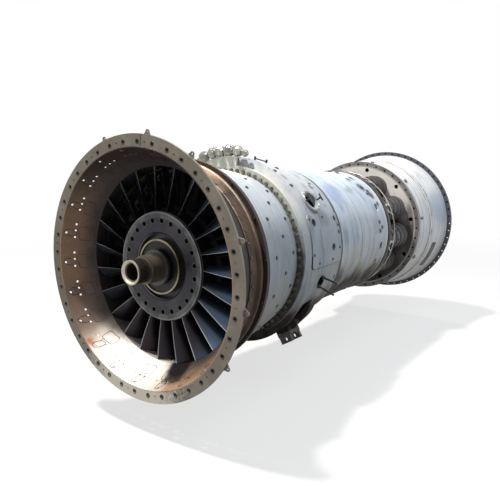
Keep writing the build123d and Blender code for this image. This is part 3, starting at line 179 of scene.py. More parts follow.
class ShaderKit(NodeKit):
    """Builds one material's node tree."""

    def __init__(self, name: str) -> None:
        """Start an empty material.

        Args:
            name: name of the material.
        """
        self.material = bpy.data.materials.new(name)
        self.material.use_nodes = True
        super().__init__(self.material.node_tree)
        self.tree.nodes.clear()
        self.place = self.node("ShaderNodeTexCoord").outputs["Object"]
        self.across, self.along, self.up = self.parts(self.place)

    def noise(self, grain: Grain) -> Sum:
        """Noise on Object coordinates.

        Args:
            grain: its size and kind.

        Returns:
            Values about 0.5.
        """
        mapped = self.node("ShaderNodeMapping", None, {"Vector": self.place, "Scale": grain.stretch,
                                                       "Location": (grain.shift, grain.shift, grain.shift)})
        made = self.node("ShaderNodeTexNoise", {"noise_dimensions": "3D"},
                         {"Vector": mapped.outputs[0], "Scale": grain.scale, "Detail": grain.detail})
        return Sum(self, made.outputs["Fac"])

    def gap(self, point: Triple) -> Sum:
        """Distance from a point."""
        across, along, up = point
        return ((self.across - across) ** 2 + (self.along - along) ** 2 + (self.up - up) ** 2).root()

    def reach(self) -> Sum:
        """Distance from the engine's axis."""
        return (self.across ** 2 + self.up ** 2).root()

    def mix(self, share: "Sum | Number", first: "Link | Triple", second: "Link | Triple") -> Link:
        """Mix two colours.

        Args:
            share: how much of the second.
            first: colour or socket.
            second: colour or socket.

        Returns:
            Socket of the mixed colour.
        """
        ends = [end if isinstance(end, Link) else (*end, 1.0) for end in (first, second)]
        made = self.node("ShaderNodeMixRGB", None, {"Fac": share, "Color1": ends[0], "Color2": ends[1]})
        return made.outputs[0]

    def close(self, colour: Link, rough: "Sum | Number", metal: "Sum | Number", height: Sum,
              depth: float, shine: float = 0.5) -> bpy.types.Material:
        """Add the shader and the output.

        Args:
            colour: socket of the base colour.
            rough: roughness.
            metal: metallic.
            height: bump height.
            depth: bump distance in metres.
            shine: level of the shader's reflections.

        Returns:
            The finished material.
        """
        bump = self.node("ShaderNodeBump", None, {"Height": height, "Distance": depth, "Strength": 1.0})
        shader = self.node("ShaderNodeBsdfPrincipled", None,
                           {"Base Color": colour, "Roughness": rough, "Metallic": metal,
                            "Normal": bump.outputs[0], "Specular IOR Level": shine})
        self.node("ShaderNodeOutputMaterial", None, {"Surface": shader.outputs[0]})
        return self.material


@dataclass(frozen=True)
class Mark:
    """A coloured ring round the engine.

    Attributes:
        middle: its station or radius, in metres.
        half: half its width, in metres.
        colour: its colour.
        strength: how strongly it covers.
        broken: how much noise breaks it up.
        by: what it is placed by.
        heights: heights where it begins and where it is full, in metres; none for all round.
    """

    middle: float
    half: float
    colour: Triple
    strength: float = 1.0
    broken: float = 0.0
    by: Measure = Measure.STATION
    heights: Pair | None = None


@dataclass(frozen=True)
class Spot:
    """A round patch of colour on the skin of a case; some are stains, others painted light or painted
    reflection.

    Attributes:
        station: its place along the engine, in metres.
        angle: its angle about the engine, in degrees.
        skin: radius of the case there, in metres.
        size: its radius, in metres.
        colour: its colour.
        strength: how strongly it covers.
    """

    station: float
    angle: float
    skin: float
    size: float
    colour: Triple
    strength: float = 1.0


@dataclass(frozen=True)
class DirtAndPaintedLight:
    """A layer of colour that grows with height, upwards in some and downwards in others; some are grime, some
    painted shade, some painted highlight.

    Attributes:
        colour: its colour.
        top: height where it begins, in metres.
        full: height where it is full, in metres.
        share: how strongly it covers.
        even: the part of it that is not blotchy.
    """

    colour: Triple
    top: float
    full: float
    share: float
    even: float = 0.35


@dataclass(frozen=True)
class MetalFinish:
    """A weathered metal with mottling, turned rings, layers by height of grime and of painted shade and
    highlight, and coloured rings.

    Attributes:
        name: name of the material.
        base: main colour.
        patch: colour of the mottling.
        patch_share: how much mottling shows.
        patch_scale: patches per metre.
        speck: colour of fine specks.
        speck_share: how many specks show.
        rough: mean roughness.
        metal: metallic share.
        lathe: strength of the turned rings.
        bump: depth of the surface's unevenness, in metres.
        runs: strength of the dirty runs down its sides.
        shine: level of the shader's reflections.
        dirt_and_light: layers by height, of grime and of painted shade and highlight.
        marks: coloured rings.
        spots: round stains and round patches of painted light and reflection.
    """

    name: str
    base: Triple
    patch: Triple
    patch_share: float = 0.6
    patch_scale: float = 9.0
    speck: Triple = (0.05, 0.04, 0.03)
    speck_share: float = 0.3
    rough: float = 0.42
    metal: float = 0.6
    lathe: float = 0.08
    bump: float = 0.0006
    runs: float = 0.0
    shine: float = 0.5
    dirt_and_light: tuple[DirtAndPaintedLight, ...] = ()
    marks: tuple[Mark, ...] = ()
    spots: tuple[Spot, ...] = ()

    # Noises that all metals share; fine specks are so many times finer than the mottling
    FINER: ClassVar[float] = 9.0
    FINE_SHIFT: ClassVar[float] = 3.1
    TURNED: ClassVar[Grain] = Grain(1.0, 2.0, (2.0, 140.0, 2.0), 1.7)
    RUNNING: ClassVar[Grain] = Grain(34.0, 4.0, (0.5, 1.0, 0.13), 7.3)
    BLOTCHED: ClassVar[Grain] = Grain(24.0, 4.0, (1.0, 1.0, 0.4), 5.0)
    BROKEN: ClassVar[Grain] = Grain(26.0)

    # Values of those noises between which each kind of weathering fades in
    MOTTLE_BAND: ClassVar[Pair] = (0.42, 0.66)
    TURNED_BAND: ClassVar[Pair] = (0.52, 0.70)
    SPECK_BAND: ClassVar[Pair] = (0.60, 0.72)
    RUN_BAND: ClassVar[Pair] = (0.50, 0.66)
    RUN_PATCH_BAND: ClassVar[Pair] = (0.36, 0.56)
    BLOTCH_BAND: ClassVar[Pair] = (0.38, 0.64)
    BREAK_BAND: ClassVar[Pair] = (0.42, 0.60)

    # Edges of marks and spots as shares of their size, and how far the height layers and marks wander in
    # metres
    MARK_EDGE: ClassVar[Pair] = (1.15, 0.75)
    SPOT_EDGE: ClassVar[Pair] = (1.6, 0.9)
    SPOT_FRAY: ClassVar[float] = 0.8
    LAYER_WANDER: ClassVar[float] = 0.24
    MARK_WANDER: ClassVar[float] = 0.1

    # Colour of runs, effect of specks and height layers on roughness and metal, shares of the bump, stain of
    # the rings
    RUN_COLOUR: ClassVar[Triple] = (0.13, 0.105, 0.08)
    ROUGH_SPREAD: ClassVar[float] = 0.22
    LAYER_ROUGH: ClassVar[float] = 0.2
    LAYER_DULL: ClassVar[float] = 0.7
    FINE_BUMP: ClassVar[float] = 0.6
    LATHE_BUMP: ClassVar[float] = 3.0
    LATHE_STAIN: ClassVar[float] = 2.0

    def build(self) -> bpy.types.Material:
        """Build the material."""
        kit = ShaderKit(self.name)
        broad = kit.noise(Grain(self.patch_scale, 4.0))
        fine = kit.noise(Grain(self.patch_scale * self.FINER, shift=self.FINE_SHIFT))
        rings = kit.noise(self.TURNED)
        colour = kit.mix(broad.rise(*self.MOTTLE_BAND) * self.patch_share, self.base, self.patch)
        colour = kit.mix(rings.rise(*self.TURNED_BAND) * self.lathe * self.LATHE_STAIN, colour, self.speck)
        colour = kit.mix(fine.rise(*self.SPECK_BAND) * self.speck_share, colour, self.speck)
        if self.runs:
            run = kit.noise(self.RUNNING).rise(*self.RUN_BAND) * broad.rise(*self.RUN_PATCH_BAND)
            colour = kit.mix(run * self.runs, colour, self.RUN_COLOUR)
        layer_total = 0.0
        for layer in self.dirt_and_light:
            layer_share = (kit.up + (broad - 0.5) * self.LAYER_WANDER).rise(layer.top, layer.full)
            grain = replace(self.BLOTCHED, shift=self.BLOTCHED.shift + layer.top)
            blotch = kit.noise(grain).rise(*self.BLOTCH_BAND)
            layer_share = layer_share * (blotch * (1 - layer.even) + layer.even) * layer.share
            colour = kit.mix(layer_share, colour, layer.colour)
            layer_total = layer_share + layer_total
        for spot in self.spots:
            colour = kit.mix(self.spot_cover(kit, spot, fine), colour, spot.colour)
        for mark in self.marks:
            colour = kit.mix(self.mark_cover(kit, mark, fine), colour, mark.colour)
        rough = self.rough + (fine - 0.5) * self.ROUGH_SPREAD + layer_total * self.LAYER_ROUGH
        metal = self.metal * (1 - layer_total * self.LAYER_DULL)
        height = fine * self.FINE_BUMP + rings * self.lathe * self.LATHE_BUMP
        return kit.close(colour, rough, metal, height, self.bump, self.shine)

    def spot_cover(self, kit: ShaderKit, spot: Spot, fine: Sum) -> Sum:
        """How strongly a round spot covers each point.

        Args:
            kit: kit of the material.
            spot: the round spot.
            fine: fine noise that frays its edge.

        Returns:
            A share from 0 to the stain's strength.
        """
        turned = radians(spot.angle)
        gap = kit.gap((spot.skin * cos(turned), spot.station, spot.skin * sin(turned)))
        outer, inner = (spot.size * share for share in self.SPOT_EDGE)
        return (gap + fine * spot.size * self.SPOT_FRAY).rise(outer, inner) * spot.strength

    def mark_cover(self, kit: ShaderKit, mark: Mark, fine: Sum) -> Sum:
        """How strongly a coloured ring covers each point.

        Args:
            kit: kit of the material.
            mark: the ring.
            fine: fine noise that frays its ends.

        Returns:
            A share from 0 to the ring's strength.
        """
        place = kit.along if mark.by is Measure.STATION else kit.reach()
        outer, inner = (mark.half * share for share in self.MARK_EDGE)
        band = abs(place - mark.middle).rise(outer, inner) * mark.strength
        if mark.broken:
            breaks = kit.noise(replace(self.BROKEN, shift=mark.middle)).rise(*self.BREAK_BAND)
            band = band * (1 - breaks * mark.broken)
        if mark.heights:
            band = band * (kit.up + (fine - 0.5) * self.MARK_WANDER).rise(*mark.heights)
        return band


@dataclass(frozen=True)
class DuctFinish:
    """Heat-stained inlet sheet: tan at the mouth, darker towards the throat, painted shade above and low on
    the left, and a painted pool of sunlight on the foot.

    Each pair gives where a colour begins and where it is full, in metres or as values of a noise.
    """

    name: str = "heat_stained_sheet"
    broad: Grain = Grain(7.0, 4.0)
    streaks: Grain = Grain(16.0, 3.0, (1.0, 0.25, 1.0), 2.2)
    fine: Grain = Grain(90.0, shift=4.0)

    # Tan mouth, brown middle and blooms along the sheet
    mouth: Triple = (0.33, 0.215, 0.13)
    middle: Triple = (0.18, 0.105, 0.062)
    middle_stations: Pair = (0.005, 0.075)
    middle_wander: float = 0.05
    bloom: Triple = (0.27, 0.17, 0.10)
    bloom_band: Pair = (0.5, 0.7)
    bloom_share: float = 0.5

    # Painted shade above; darker towards the throat and in a patch at the foot
    throat: Triple = (0.022, 0.016, 0.016)
    above_heights: Pair = (0.08, 0.34)
    above_share: float = 0.92
    throat_stations: Pair = (0.055, 0.112)
    throat_wander: float = 0.045
    patch_centre: Triple = (0.085, 0.10, -0.325)
    patch_sizes: Pair = (0.088, 0.062)
    patch_wander: float = 0.05
    speck_band: Pair = (0.60, 0.74)
    speck_share: float = 0.25

    # Painted pool of sunlight on the foot, painted shade low on the left, and a rust stain
    wander: float = 0.1
    lit_foot: Triple = (0.75, 0.685, 0.62)
    lit_foot_heights: Pair = (-0.17, -0.30)
    lit_foot_right: Pair = (0.13, 0.0)
    lit_foot_left: Pair = (-0.31, -0.21)
    lit_foot_wander: float = 0.08
    lit_foot_share: float = 0.85
    lit_foot_clear: float = 0.8
    low_left_shade: Triple = (0.075, 0.048, 0.045)
    low_left_shade_side: Pair = (-0.25, -0.32)
    low_left_shade_heights: Pair = (-0.04, -0.14)
    low_left_shade_share: float = 0.6
    rust: Triple = (0.45, 0.13, 0.03)
    rust_centre: Triple = (-0.262, 0.012, -0.285)
    rust_sizes: Pair = (0.034, 0.012)
    rust_wander: float = 0.02

    # Surface of the sheet
    rough: float = 0.46
    rough_spread: float = 0.25
    darkened_rough: float = 0.15
    metal: float = 0.3
    bump: float = 0.0012

    def build(self) -> bpy.types.Material:
        """Build the material."""
        kit = ShaderKit(self.name)
        broad, streak, fine = (kit.noise(grain) for grain in (self.broad, self.streaks, self.fine))
        sway = broad - 0.5
        flow = streak - 0.5
        deep = (kit.along + sway * self.middle_wander).rise(*self.middle_stations)
        colour = kit.mix(deep, self.mouth, self.middle)
        colour = kit.mix(streak.rise(*self.bloom_band) * self.bloom_share, colour, self.bloom)
        # Painted shade over the top of the duct
        above = (kit.up + sway * self.wander).rise(*self.above_heights) * self.above_share
        colour = kit.mix(above, colour, self.throat)
        # Painted pool of sunlight on the foot
        pale = (kit.up + flow * self.lit_foot_wander).rise(*self.lit_foot_heights)
        pale = pale * (kit.across + flow * self.lit_foot_wander).rise(*self.lit_foot_right)
        pale = pale * (kit.across + sway * self.wander).rise(*self.lit_foot_left)
        colour = kit.mix(pale * self.lit_foot_share, colour, self.lit_foot)
        # Painted shade low on the left
        shade = kit.across.rise(*self.low_left_shade_side) * (kit.up + flow * self.wander).rise(*self.low_left_shade_heights)
        colour = kit.mix(shade * self.low_left_shade_share, colour, self.low_left_shade)
        # Darker towards the throat and in a patch at the foot, kept off the painted sunlight
        darkened = (kit.along + flow * self.throat_wander).rise(*self.throat_stations)
        darkened = darkened * (1 - pale * self.lit_foot_clear)
        patch = (kit.gap(self.patch_centre) + broad * self.patch_wander).rise(*self.patch_sizes)
        darkened = darkened.larger(patch)
        colour = kit.mix(darkened, colour, self.throat)
        colour = kit.mix(fine.rise(*self.speck_band) * self.speck_share, colour, self.throat)
        stain = (kit.gap(self.rust_centre) + fine * self.rust_wander).rise(*self.rust_sizes)
        colour = kit.mix(stain, colour, self.rust)
        rough = self.rough + (fine - 0.5) * self.rough_spread + darkened * self.darkened_rough
        return kit.close(colour, rough, self.metal, fine * 0.5 + broad * 0.5, self.bump)


@dataclass(frozen=True)
class BladeFinish:
    """Dark polished blade: grey at the root, blue-grey towards the tip, with painted shade on the low blades,
    a painted sky reflection on the right and a painted highlight along its leading edge.

    Each pair gives where a colour begins and where it is full, in metres or as values of the wear's noise.
    """

    name: str = "dark_blade"
    wear: Grain = Grain(30.0, 4.0)
    root: Triple = (0.055, 0.055, 0.066)
    # Blue-grey of the tips: partly a painted sky reflection
    tip: Triple = (0.070, 0.084, 0.112)
    tip_radii: Pair = (0.19, 0.33)
    scuff: Triple = (0.12, 0.11, 0.10)
    scuff_band: Pair = (0.58, 0.72)
    scuff_share: float = 0.35
    # Painted shade on the low blades
    shade: Triple = (0.014, 0.010, 0.015)
    shade_heights: Pair = (-0.10, -0.22)
    shade_right: Pair = (0.24, 0.12)
    shade_share: float = 0.95
    # Painted sky reflection on the right-hand blades
    sky: Triple = (0.040, 0.080, 0.145)
    sky_right: Pair = (0.12, 0.26)
    sky_band: Pair = (0.7, 0.5)
    sky_share: float = 0.8
    # Painted highlight along the leading edge, dimmer low down
    edge: Triple = (0.86, 0.87, 0.90)
    edge_stations: Pair = (0.1126, 0.1116)
    edge_heights: Pair = (-0.14, 0.06)
    edge_low: float = 0.4
    edge_gain: float = 0.5
    rough: float = 0.24
    rough_spread: float = 0.22
    metal: float = 0.65
    edge_dull: float = 0.45
    bump: float = 0.0004

    def build(self) -> bpy.types.Material:
        """Build the material."""
        kit = ShaderKit(self.name)
        wear = kit.noise(self.wear)
        colour = kit.mix(kit.reach().rise(*self.tip_radii), self.root, self.tip)
        colour = kit.mix(wear.rise(*self.scuff_band) * self.scuff_share, colour, self.scuff)
        shade = kit.up.rise(*self.shade_heights) * kit.across.rise(*self.shade_right)
        colour = kit.mix(shade * self.shade_share, colour, self.shade)
        sky = kit.across.rise(*self.sky_right) * wear.rise(*self.sky_band)
        colour = kit.mix(sky * self.sky_share, colour, self.sky)
        lit = self.edge_low + kit.up.rise(*self.edge_heights) * self.edge_gain
        edge = kit.along.rise(*self.edge_stations) * lit
        colour = kit.mix(edge, colour, self.edge)
        rough = self.rough + wear * self.rough_spread
        return kit.close(colour, rough, self.metal - edge * self.edge_dull, wear, self.bump)


FINISHES: tuple[MetalFinish | DuctFinish | BladeFinish, ...] = (
    MetalFinish("flange_grey", (0.17, 0.148, 0.118), (0.25, 0.22, 0.18), 0.6, 14.0, (0.06, 0.045, 0.03),
                metal=0.35, rough=0.5, bump=0.0008,
                spots=(Spot(0.0, 185.0, 0.41, 0.20, (0.11, 0.085, 0.062), 0.7),
                       # Pale spot on the bottom of the flange: a painted pool of sunlight
                       Spot(0.0, -95.0, 0.41, 0.22, (0.64, 0.59, 0.50), 0.85))),
    MetalFinish("ring_brown", (0.50, 0.325, 0.19), (0.58, 0.39, 0.24), 0.6, 8.0, metal=0.25, rough=0.4,
                # The dark layer below the top of the ring is painted shade
                shine=0.25, dirt_and_light=(DirtAndPaintedLight((0.030, 0.018, 0.014), 0.37, 0.20, 0.97, 0.9),),
                # The two pale rings, on the top only, are painted highlights
                marks=(Mark(0.197, 0.002, (0.60, 0.48, 0.36), 0.8, 0.3, heights=(0.05, 0.27)),
                       Mark(0.159, 0.003, (0.55, 0.42, 0.30), 0.7, 0.3, heights=(0.05, 0.27)),
                       # Dark band at the rear flange: partly grime, partly painted shade
                       Mark(0.226, 0.009, (0.05, 0.038, 0.035), 0.9))),
    MetalFinish("low_silver", (0.44, 0.48, 0.515), (0.52, 0.555, 0.59), 0.6, 6.0, (0.15, 0.14, 0.13), 0.2,
                metal=0.12, rough=0.36, runs=0.4, shine=0.06,
                # Pale layer on top: painted highlight; blue-grey layer down the flank: painted shade with a
                # sky-blue cast
                dirt_and_light=(DirtAndPaintedLight((0.78, 0.79, 0.76), 0.25, 0.33, 0.6, 0.85),
                      DirtAndPaintedLight((0.20, 0.225, 0.25), 0.18, 0.04, 0.62, 0.8),
                      DirtAndPaintedLight((0.42, 0.40, 0.35), -0.03, -0.14, 0.65, 0.8),
                      # Dark layer underneath: partly grime, partly painted shade
                      DirtAndPaintedLight((0.16, 0.135, 0.10), -0.16, -0.3, 0.75)),
                # Cream band on top of the joint: painted highlight; dark band below it: dark joint with
                # painted shade
                marks=(Mark(0.490, 0.012, (0.55, 0.52, 0.41), 0.7, 0.4, heights=(0.05, 0.22)),
                       Mark(0.492, 0.008, SOOT_AND_SHADE, 0.85, 0.3, heights=(0.16, -0.02)),
                       Mark(0.236, 0.006, SOOT_AND_SHADE, 0.9))),
    MetalFinish("mid_grey", (0.44, 0.458, 0.475), (0.31, 0.365, 0.435), 0.7, 5.0, (0.12, 0.10, 0.08),
                metal=0.1, rough=0.42, bump=0.0012, runs=0.5, shine=0.06,
                # Blue-grey layer down the flank: painted shade with a sky-blue cast
                dirt_and_light=(DirtAndPaintedLight((0.23, 0.255, 0.28), 0.2, 0.02, 0.35, 0.8),
                      DirtAndPaintedLight((0.44, 0.40, 0.33), -0.01, -0.12, 0.65),
                      # Dark layers underneath: partly grime, partly painted shade
                      DirtAndPaintedLight((0.17, 0.135, 0.10), -0.13, -0.22, 0.7),
                      DirtAndPaintedLight(SOOT_AND_SHADE, -0.135, -0.23, 0.95, 0.85)),
                marks=(Mark(0.799, 0.012, SOOT_AND_SHADE, 0.95, 0.2),
                       # Cream band on top of the shoulder: painted highlight
                       Mark(0.506, 0.010, (0.56, 0.54, 0.47), 0.5, 0.3, heights=(0.1, 0.25))),
                spots=(Spot(0.595, -39.0, 0.345, 0.080, (0.05, 0.04, 0.042), 0.75),
                       Spot(0.74, -31.0, 0.325, 0.045, SOOT_AND_SHADE, 0.5),
                       Spot(0.76, 23.0, 0.32, 0.012, BLACK),
                       Spot(0.775, 13.0, 0.32, 0.010, BLACK),
                       Spot(0.77, -20.0, 0.32, 0.011, BLACK, 0.8),
                       Spot(0.56, 56.0, 0.352, 0.020, (0.22, 0.19, 0.15), 0.7),
                       Spot(0.68, 24.0, 0.332, 0.040, (0.22, 0.20, 0.18), 0.5))),
    MetalFinish("high_silver", (0.47, 0.525, 0.585), (0.34, 0.425, 0.55), 0.8, 4.5, (0.20, 0.18, 0.15),
                0.16, metal=0.14, rough=0.33, lathe=0.16, runs=0.4, shine=0.06,
                dirt_and_light=(DirtAndPaintedLight((0.46, 0.40, 0.29), 0.05, -0.10, 0.8),
                      # Dark layers underneath: partly grime, partly painted shade
                      DirtAndPaintedLight((0.16, 0.12, 0.075), -0.10, -0.18, 0.6),
                      DirtAndPaintedLight(SOOT_AND_SHADE, -0.07, -0.18, 0.95, 0.85)),
                marks=(Mark(0.808, 0.007, SOOT_AND_SHADE, 0.9, 0.2),
                       Mark(1.033, 0.0012, TAN, 0.5),
                       Mark(1.312, 0.006, (0.70, 0.72, 0.74), 0.7),
                       Mark(1.323, 0.004, SOOT_AND_SHADE, 0.95)),
                spots=(Spot(0.92, 46.0, 0.30, 0.070, (0.20, 0.28, 0.45), 0.6),
                       Spot(1.225, 50.0, 0.295, 0.032, SOOT_AND_SHADE, 0.8),
                       Spot(1.262, 40.0, 0.295, 0.024, SOOT_AND_SHADE, 0.9),
                       Spot(1.20, 62.0, 0.295, 0.018, SOOT_AND_SHADE, 0.8),
                       Spot(1.275, 30.0, 0.295, 0.014, SOOT_AND_SHADE),
                       Spot(1.20, 10.0, 0.294, 0.050, (0.22, 0.19, 0.15), 0.35))),
    MetalFinish("dark_steel", (0.045, 0.04, 0.037), (0.11, 0.095, 0.08), 0.6, 40.0, (0.30, 0.26, 0.2), 0.2,
                metal=0.7, rough=0.42),
    MetalFinish("bolt_olive", (0.12, 0.115, 0.085), (0.40, 0.37, 0.28), 0.6, 60.0, BLACK, 0.4,
                # The dark layer on the nuts below the top is painted shade
                metal=0.5, rough=0.34, dirt_and_light=(DirtAndPaintedLight(SOOT_AND_SHADE, 0.22, 0.0, 0.5, 0.8),)),
    MetalFinish("hub_grey", (0.028, 0.028, 0.035), (0.058, 0.051, 0.060), 0.7, 10.0, (0.035, 0.03, 0.03),
                metal=0.6, rough=0.36,
                marks=(Mark(0.1720, 0.0100, (0.12, 0.13, 0.12), 0.75, 0.7, Measure.RADIUS),
                       Mark(0.1800, 0.0028, (0.26, 0.25, 0.25), 0.7, 0.5, Measure.RADIUS),
                       # Blue-grey ring at the edge of the bore: painted highlight
                       Mark(0.1115, 0.0015, (0.20, 0.21, 0.25), 0.6, 0.5, Measure.RADIUS))),
    MetalFinish("shaft_steel", (0.125, 0.105, 0.084), (0.19, 0.16, 0.12), 0.4, 8.0, (0.04, 0.034, 0.028),
                0.0, metal=0.55, rough=0.36, lathe=0.5, bump=0.00002,
                marks=(Mark(-0.021, 0.003, (0.62, 0.56, 0.44), 0.9),
                       Mark(0.005, 0.0215, SOOT_AND_SHADE, 0.55),
                       Mark(0.089, 0.007, (0.07, 0.068, 0.075), 0.8),
                       Mark(0.112, 0.014, BLACK, 0.97))),
    MetalFinish("seal_gold", (0.30, 0.255, 0.175), (0.16, 0.14, 0.105), 0.6, 30.0, metal=0.9, rough=0.3),
    MetalFinish("union_grey", (0.36, 0.35, 0.31), (0.16, 0.155, 0.14), 0.7, 26.0, (0.05, 0.045, 0.04), 0.5,
                metal=0.75, rough=0.24),
    MetalFinish("pipe_grey", (0.50, 0.50, 0.48), (0.30, 0.30, 0.29), 0.7, 26.0, (0.08, 0.07, 0.06), 0.4,
                metal=0.4, rough=0.34),
    MetalFinish("can_steel", (0.125, 0.12, 0.12), (0.21, 0.20, 0.198), 0.7, 10.0, (0.03, 0.026, 0.024), 0.5,
                metal=0.35, rough=0.36, lathe=0.4, shine=0.3,
                # The near-black layer that grows upwards is painted shade on the top flame tube
                dirt_and_light=(DirtAndPaintedLight((0.05, 0.036, 0.03), -0.06, -0.2, 0.7), DirtAndPaintedLight(SOOT_AND_SHADE, 0.09, 0.17, 0.92, 0.85))),
    MetalFinish("plate_tan", (0.74, 0.71, 0.67), (0.60, 0.57, 0.53), 0.6, 9.0, (0.13, 0.10, 0.07),
                metal=0.1, rough=0.55, shine=0.25,
                # The dark layer low on the plate is painted shade
                dirt_and_light=(DirtAndPaintedLight((0.050, 0.036, 0.033), 0.19, 0.04, 0.95, 0.9),)),
    MetalFinish("turbine_grey", (0.61, 0.615, 0.63), (0.51, 0.53, 0.56), 0.6, 6.0, (0.26, 0.24, 0.2), 0.2,
                metal=0.15, rough=0.36, lathe=0.25, runs=0.25, shine=0.3,
                dirt_and_light=(DirtAndPaintedLight((0.55, 0.50, 0.43), -0.05, -0.2, 0.5),),
                marks=(Mark(1.6050, 0.004, (0.13, 0.115, 0.11), 0.9, 0.2),
                       Mark(0.3140, 0.006, (0.50, 0.47, 0.43), 0.8, 0.0, Measure.RADIUS),
                       Mark(1.640, 0.002, TAN, 0.7),
                       Mark(1.687, 0.002, TAN, 0.7),
                       Mark(1.751, 0.003, TAN, 0.7, 0.7),
                       Mark(1.772, 0.007, (0.15, 0.085, 0.055), 0.95, 0.8),
                       Mark(1.930, 0.004, (0.40, 0.40, 0.42), 0.6),
                       Mark(1.963, 0.0105, (0.055, 0.062, 0.075), 0.96)),
                # Blue spot on the flank: a painted sky reflection
                spots=(Spot(1.88, 16.0, 0.366, 0.11, (0.27, 0.34, 0.45), 0.6),)),
    MetalFinish("inner_steel", (0.14, 0.137, 0.134), (0.20, 0.19, 0.175), 0.6, 14.0, metal=0.7),
    MetalFinish("inner_blade", (0.05, 0.05, 0.055), (0.09, 0.085, 0.085), 0.6, 20.0, BLACK,
                metal=0.85, rough=0.38),
    MetalFinish("clip_grey", (0.20, 0.19, 0.185), (0.13, 0.12, 0.115), 0.6, 20.0, metal=0.4),
    MetalFinish("bracket_brown", (0.075, 0.065, 0.061), (0.13, 0.115, 0.105), 0.6, 20.0, SOOT_AND_SHADE, 0.5,
                metal=0.3, rough=0.5, shine=0.2),
    # Very dark finish for the parts deep in the inlet: painted shade of the throat
    MetalFinish("throat_dark", (0.036, 0.034, 0.038), (0.050, 0.047, 0.052), 0.6, 30.0, BLACK,
                metal=0.0, rough=0.8, shine=0.0),
    MetalFinish("soot_black", (0.008, 0.008, 0.009), (0.014, 0.013, 0.013), 0.6, 30.0, BLACK,
                metal=0.0, rough=0.7, shine=0.0),
    DuctFinish(),
    BladeFinish(),
)


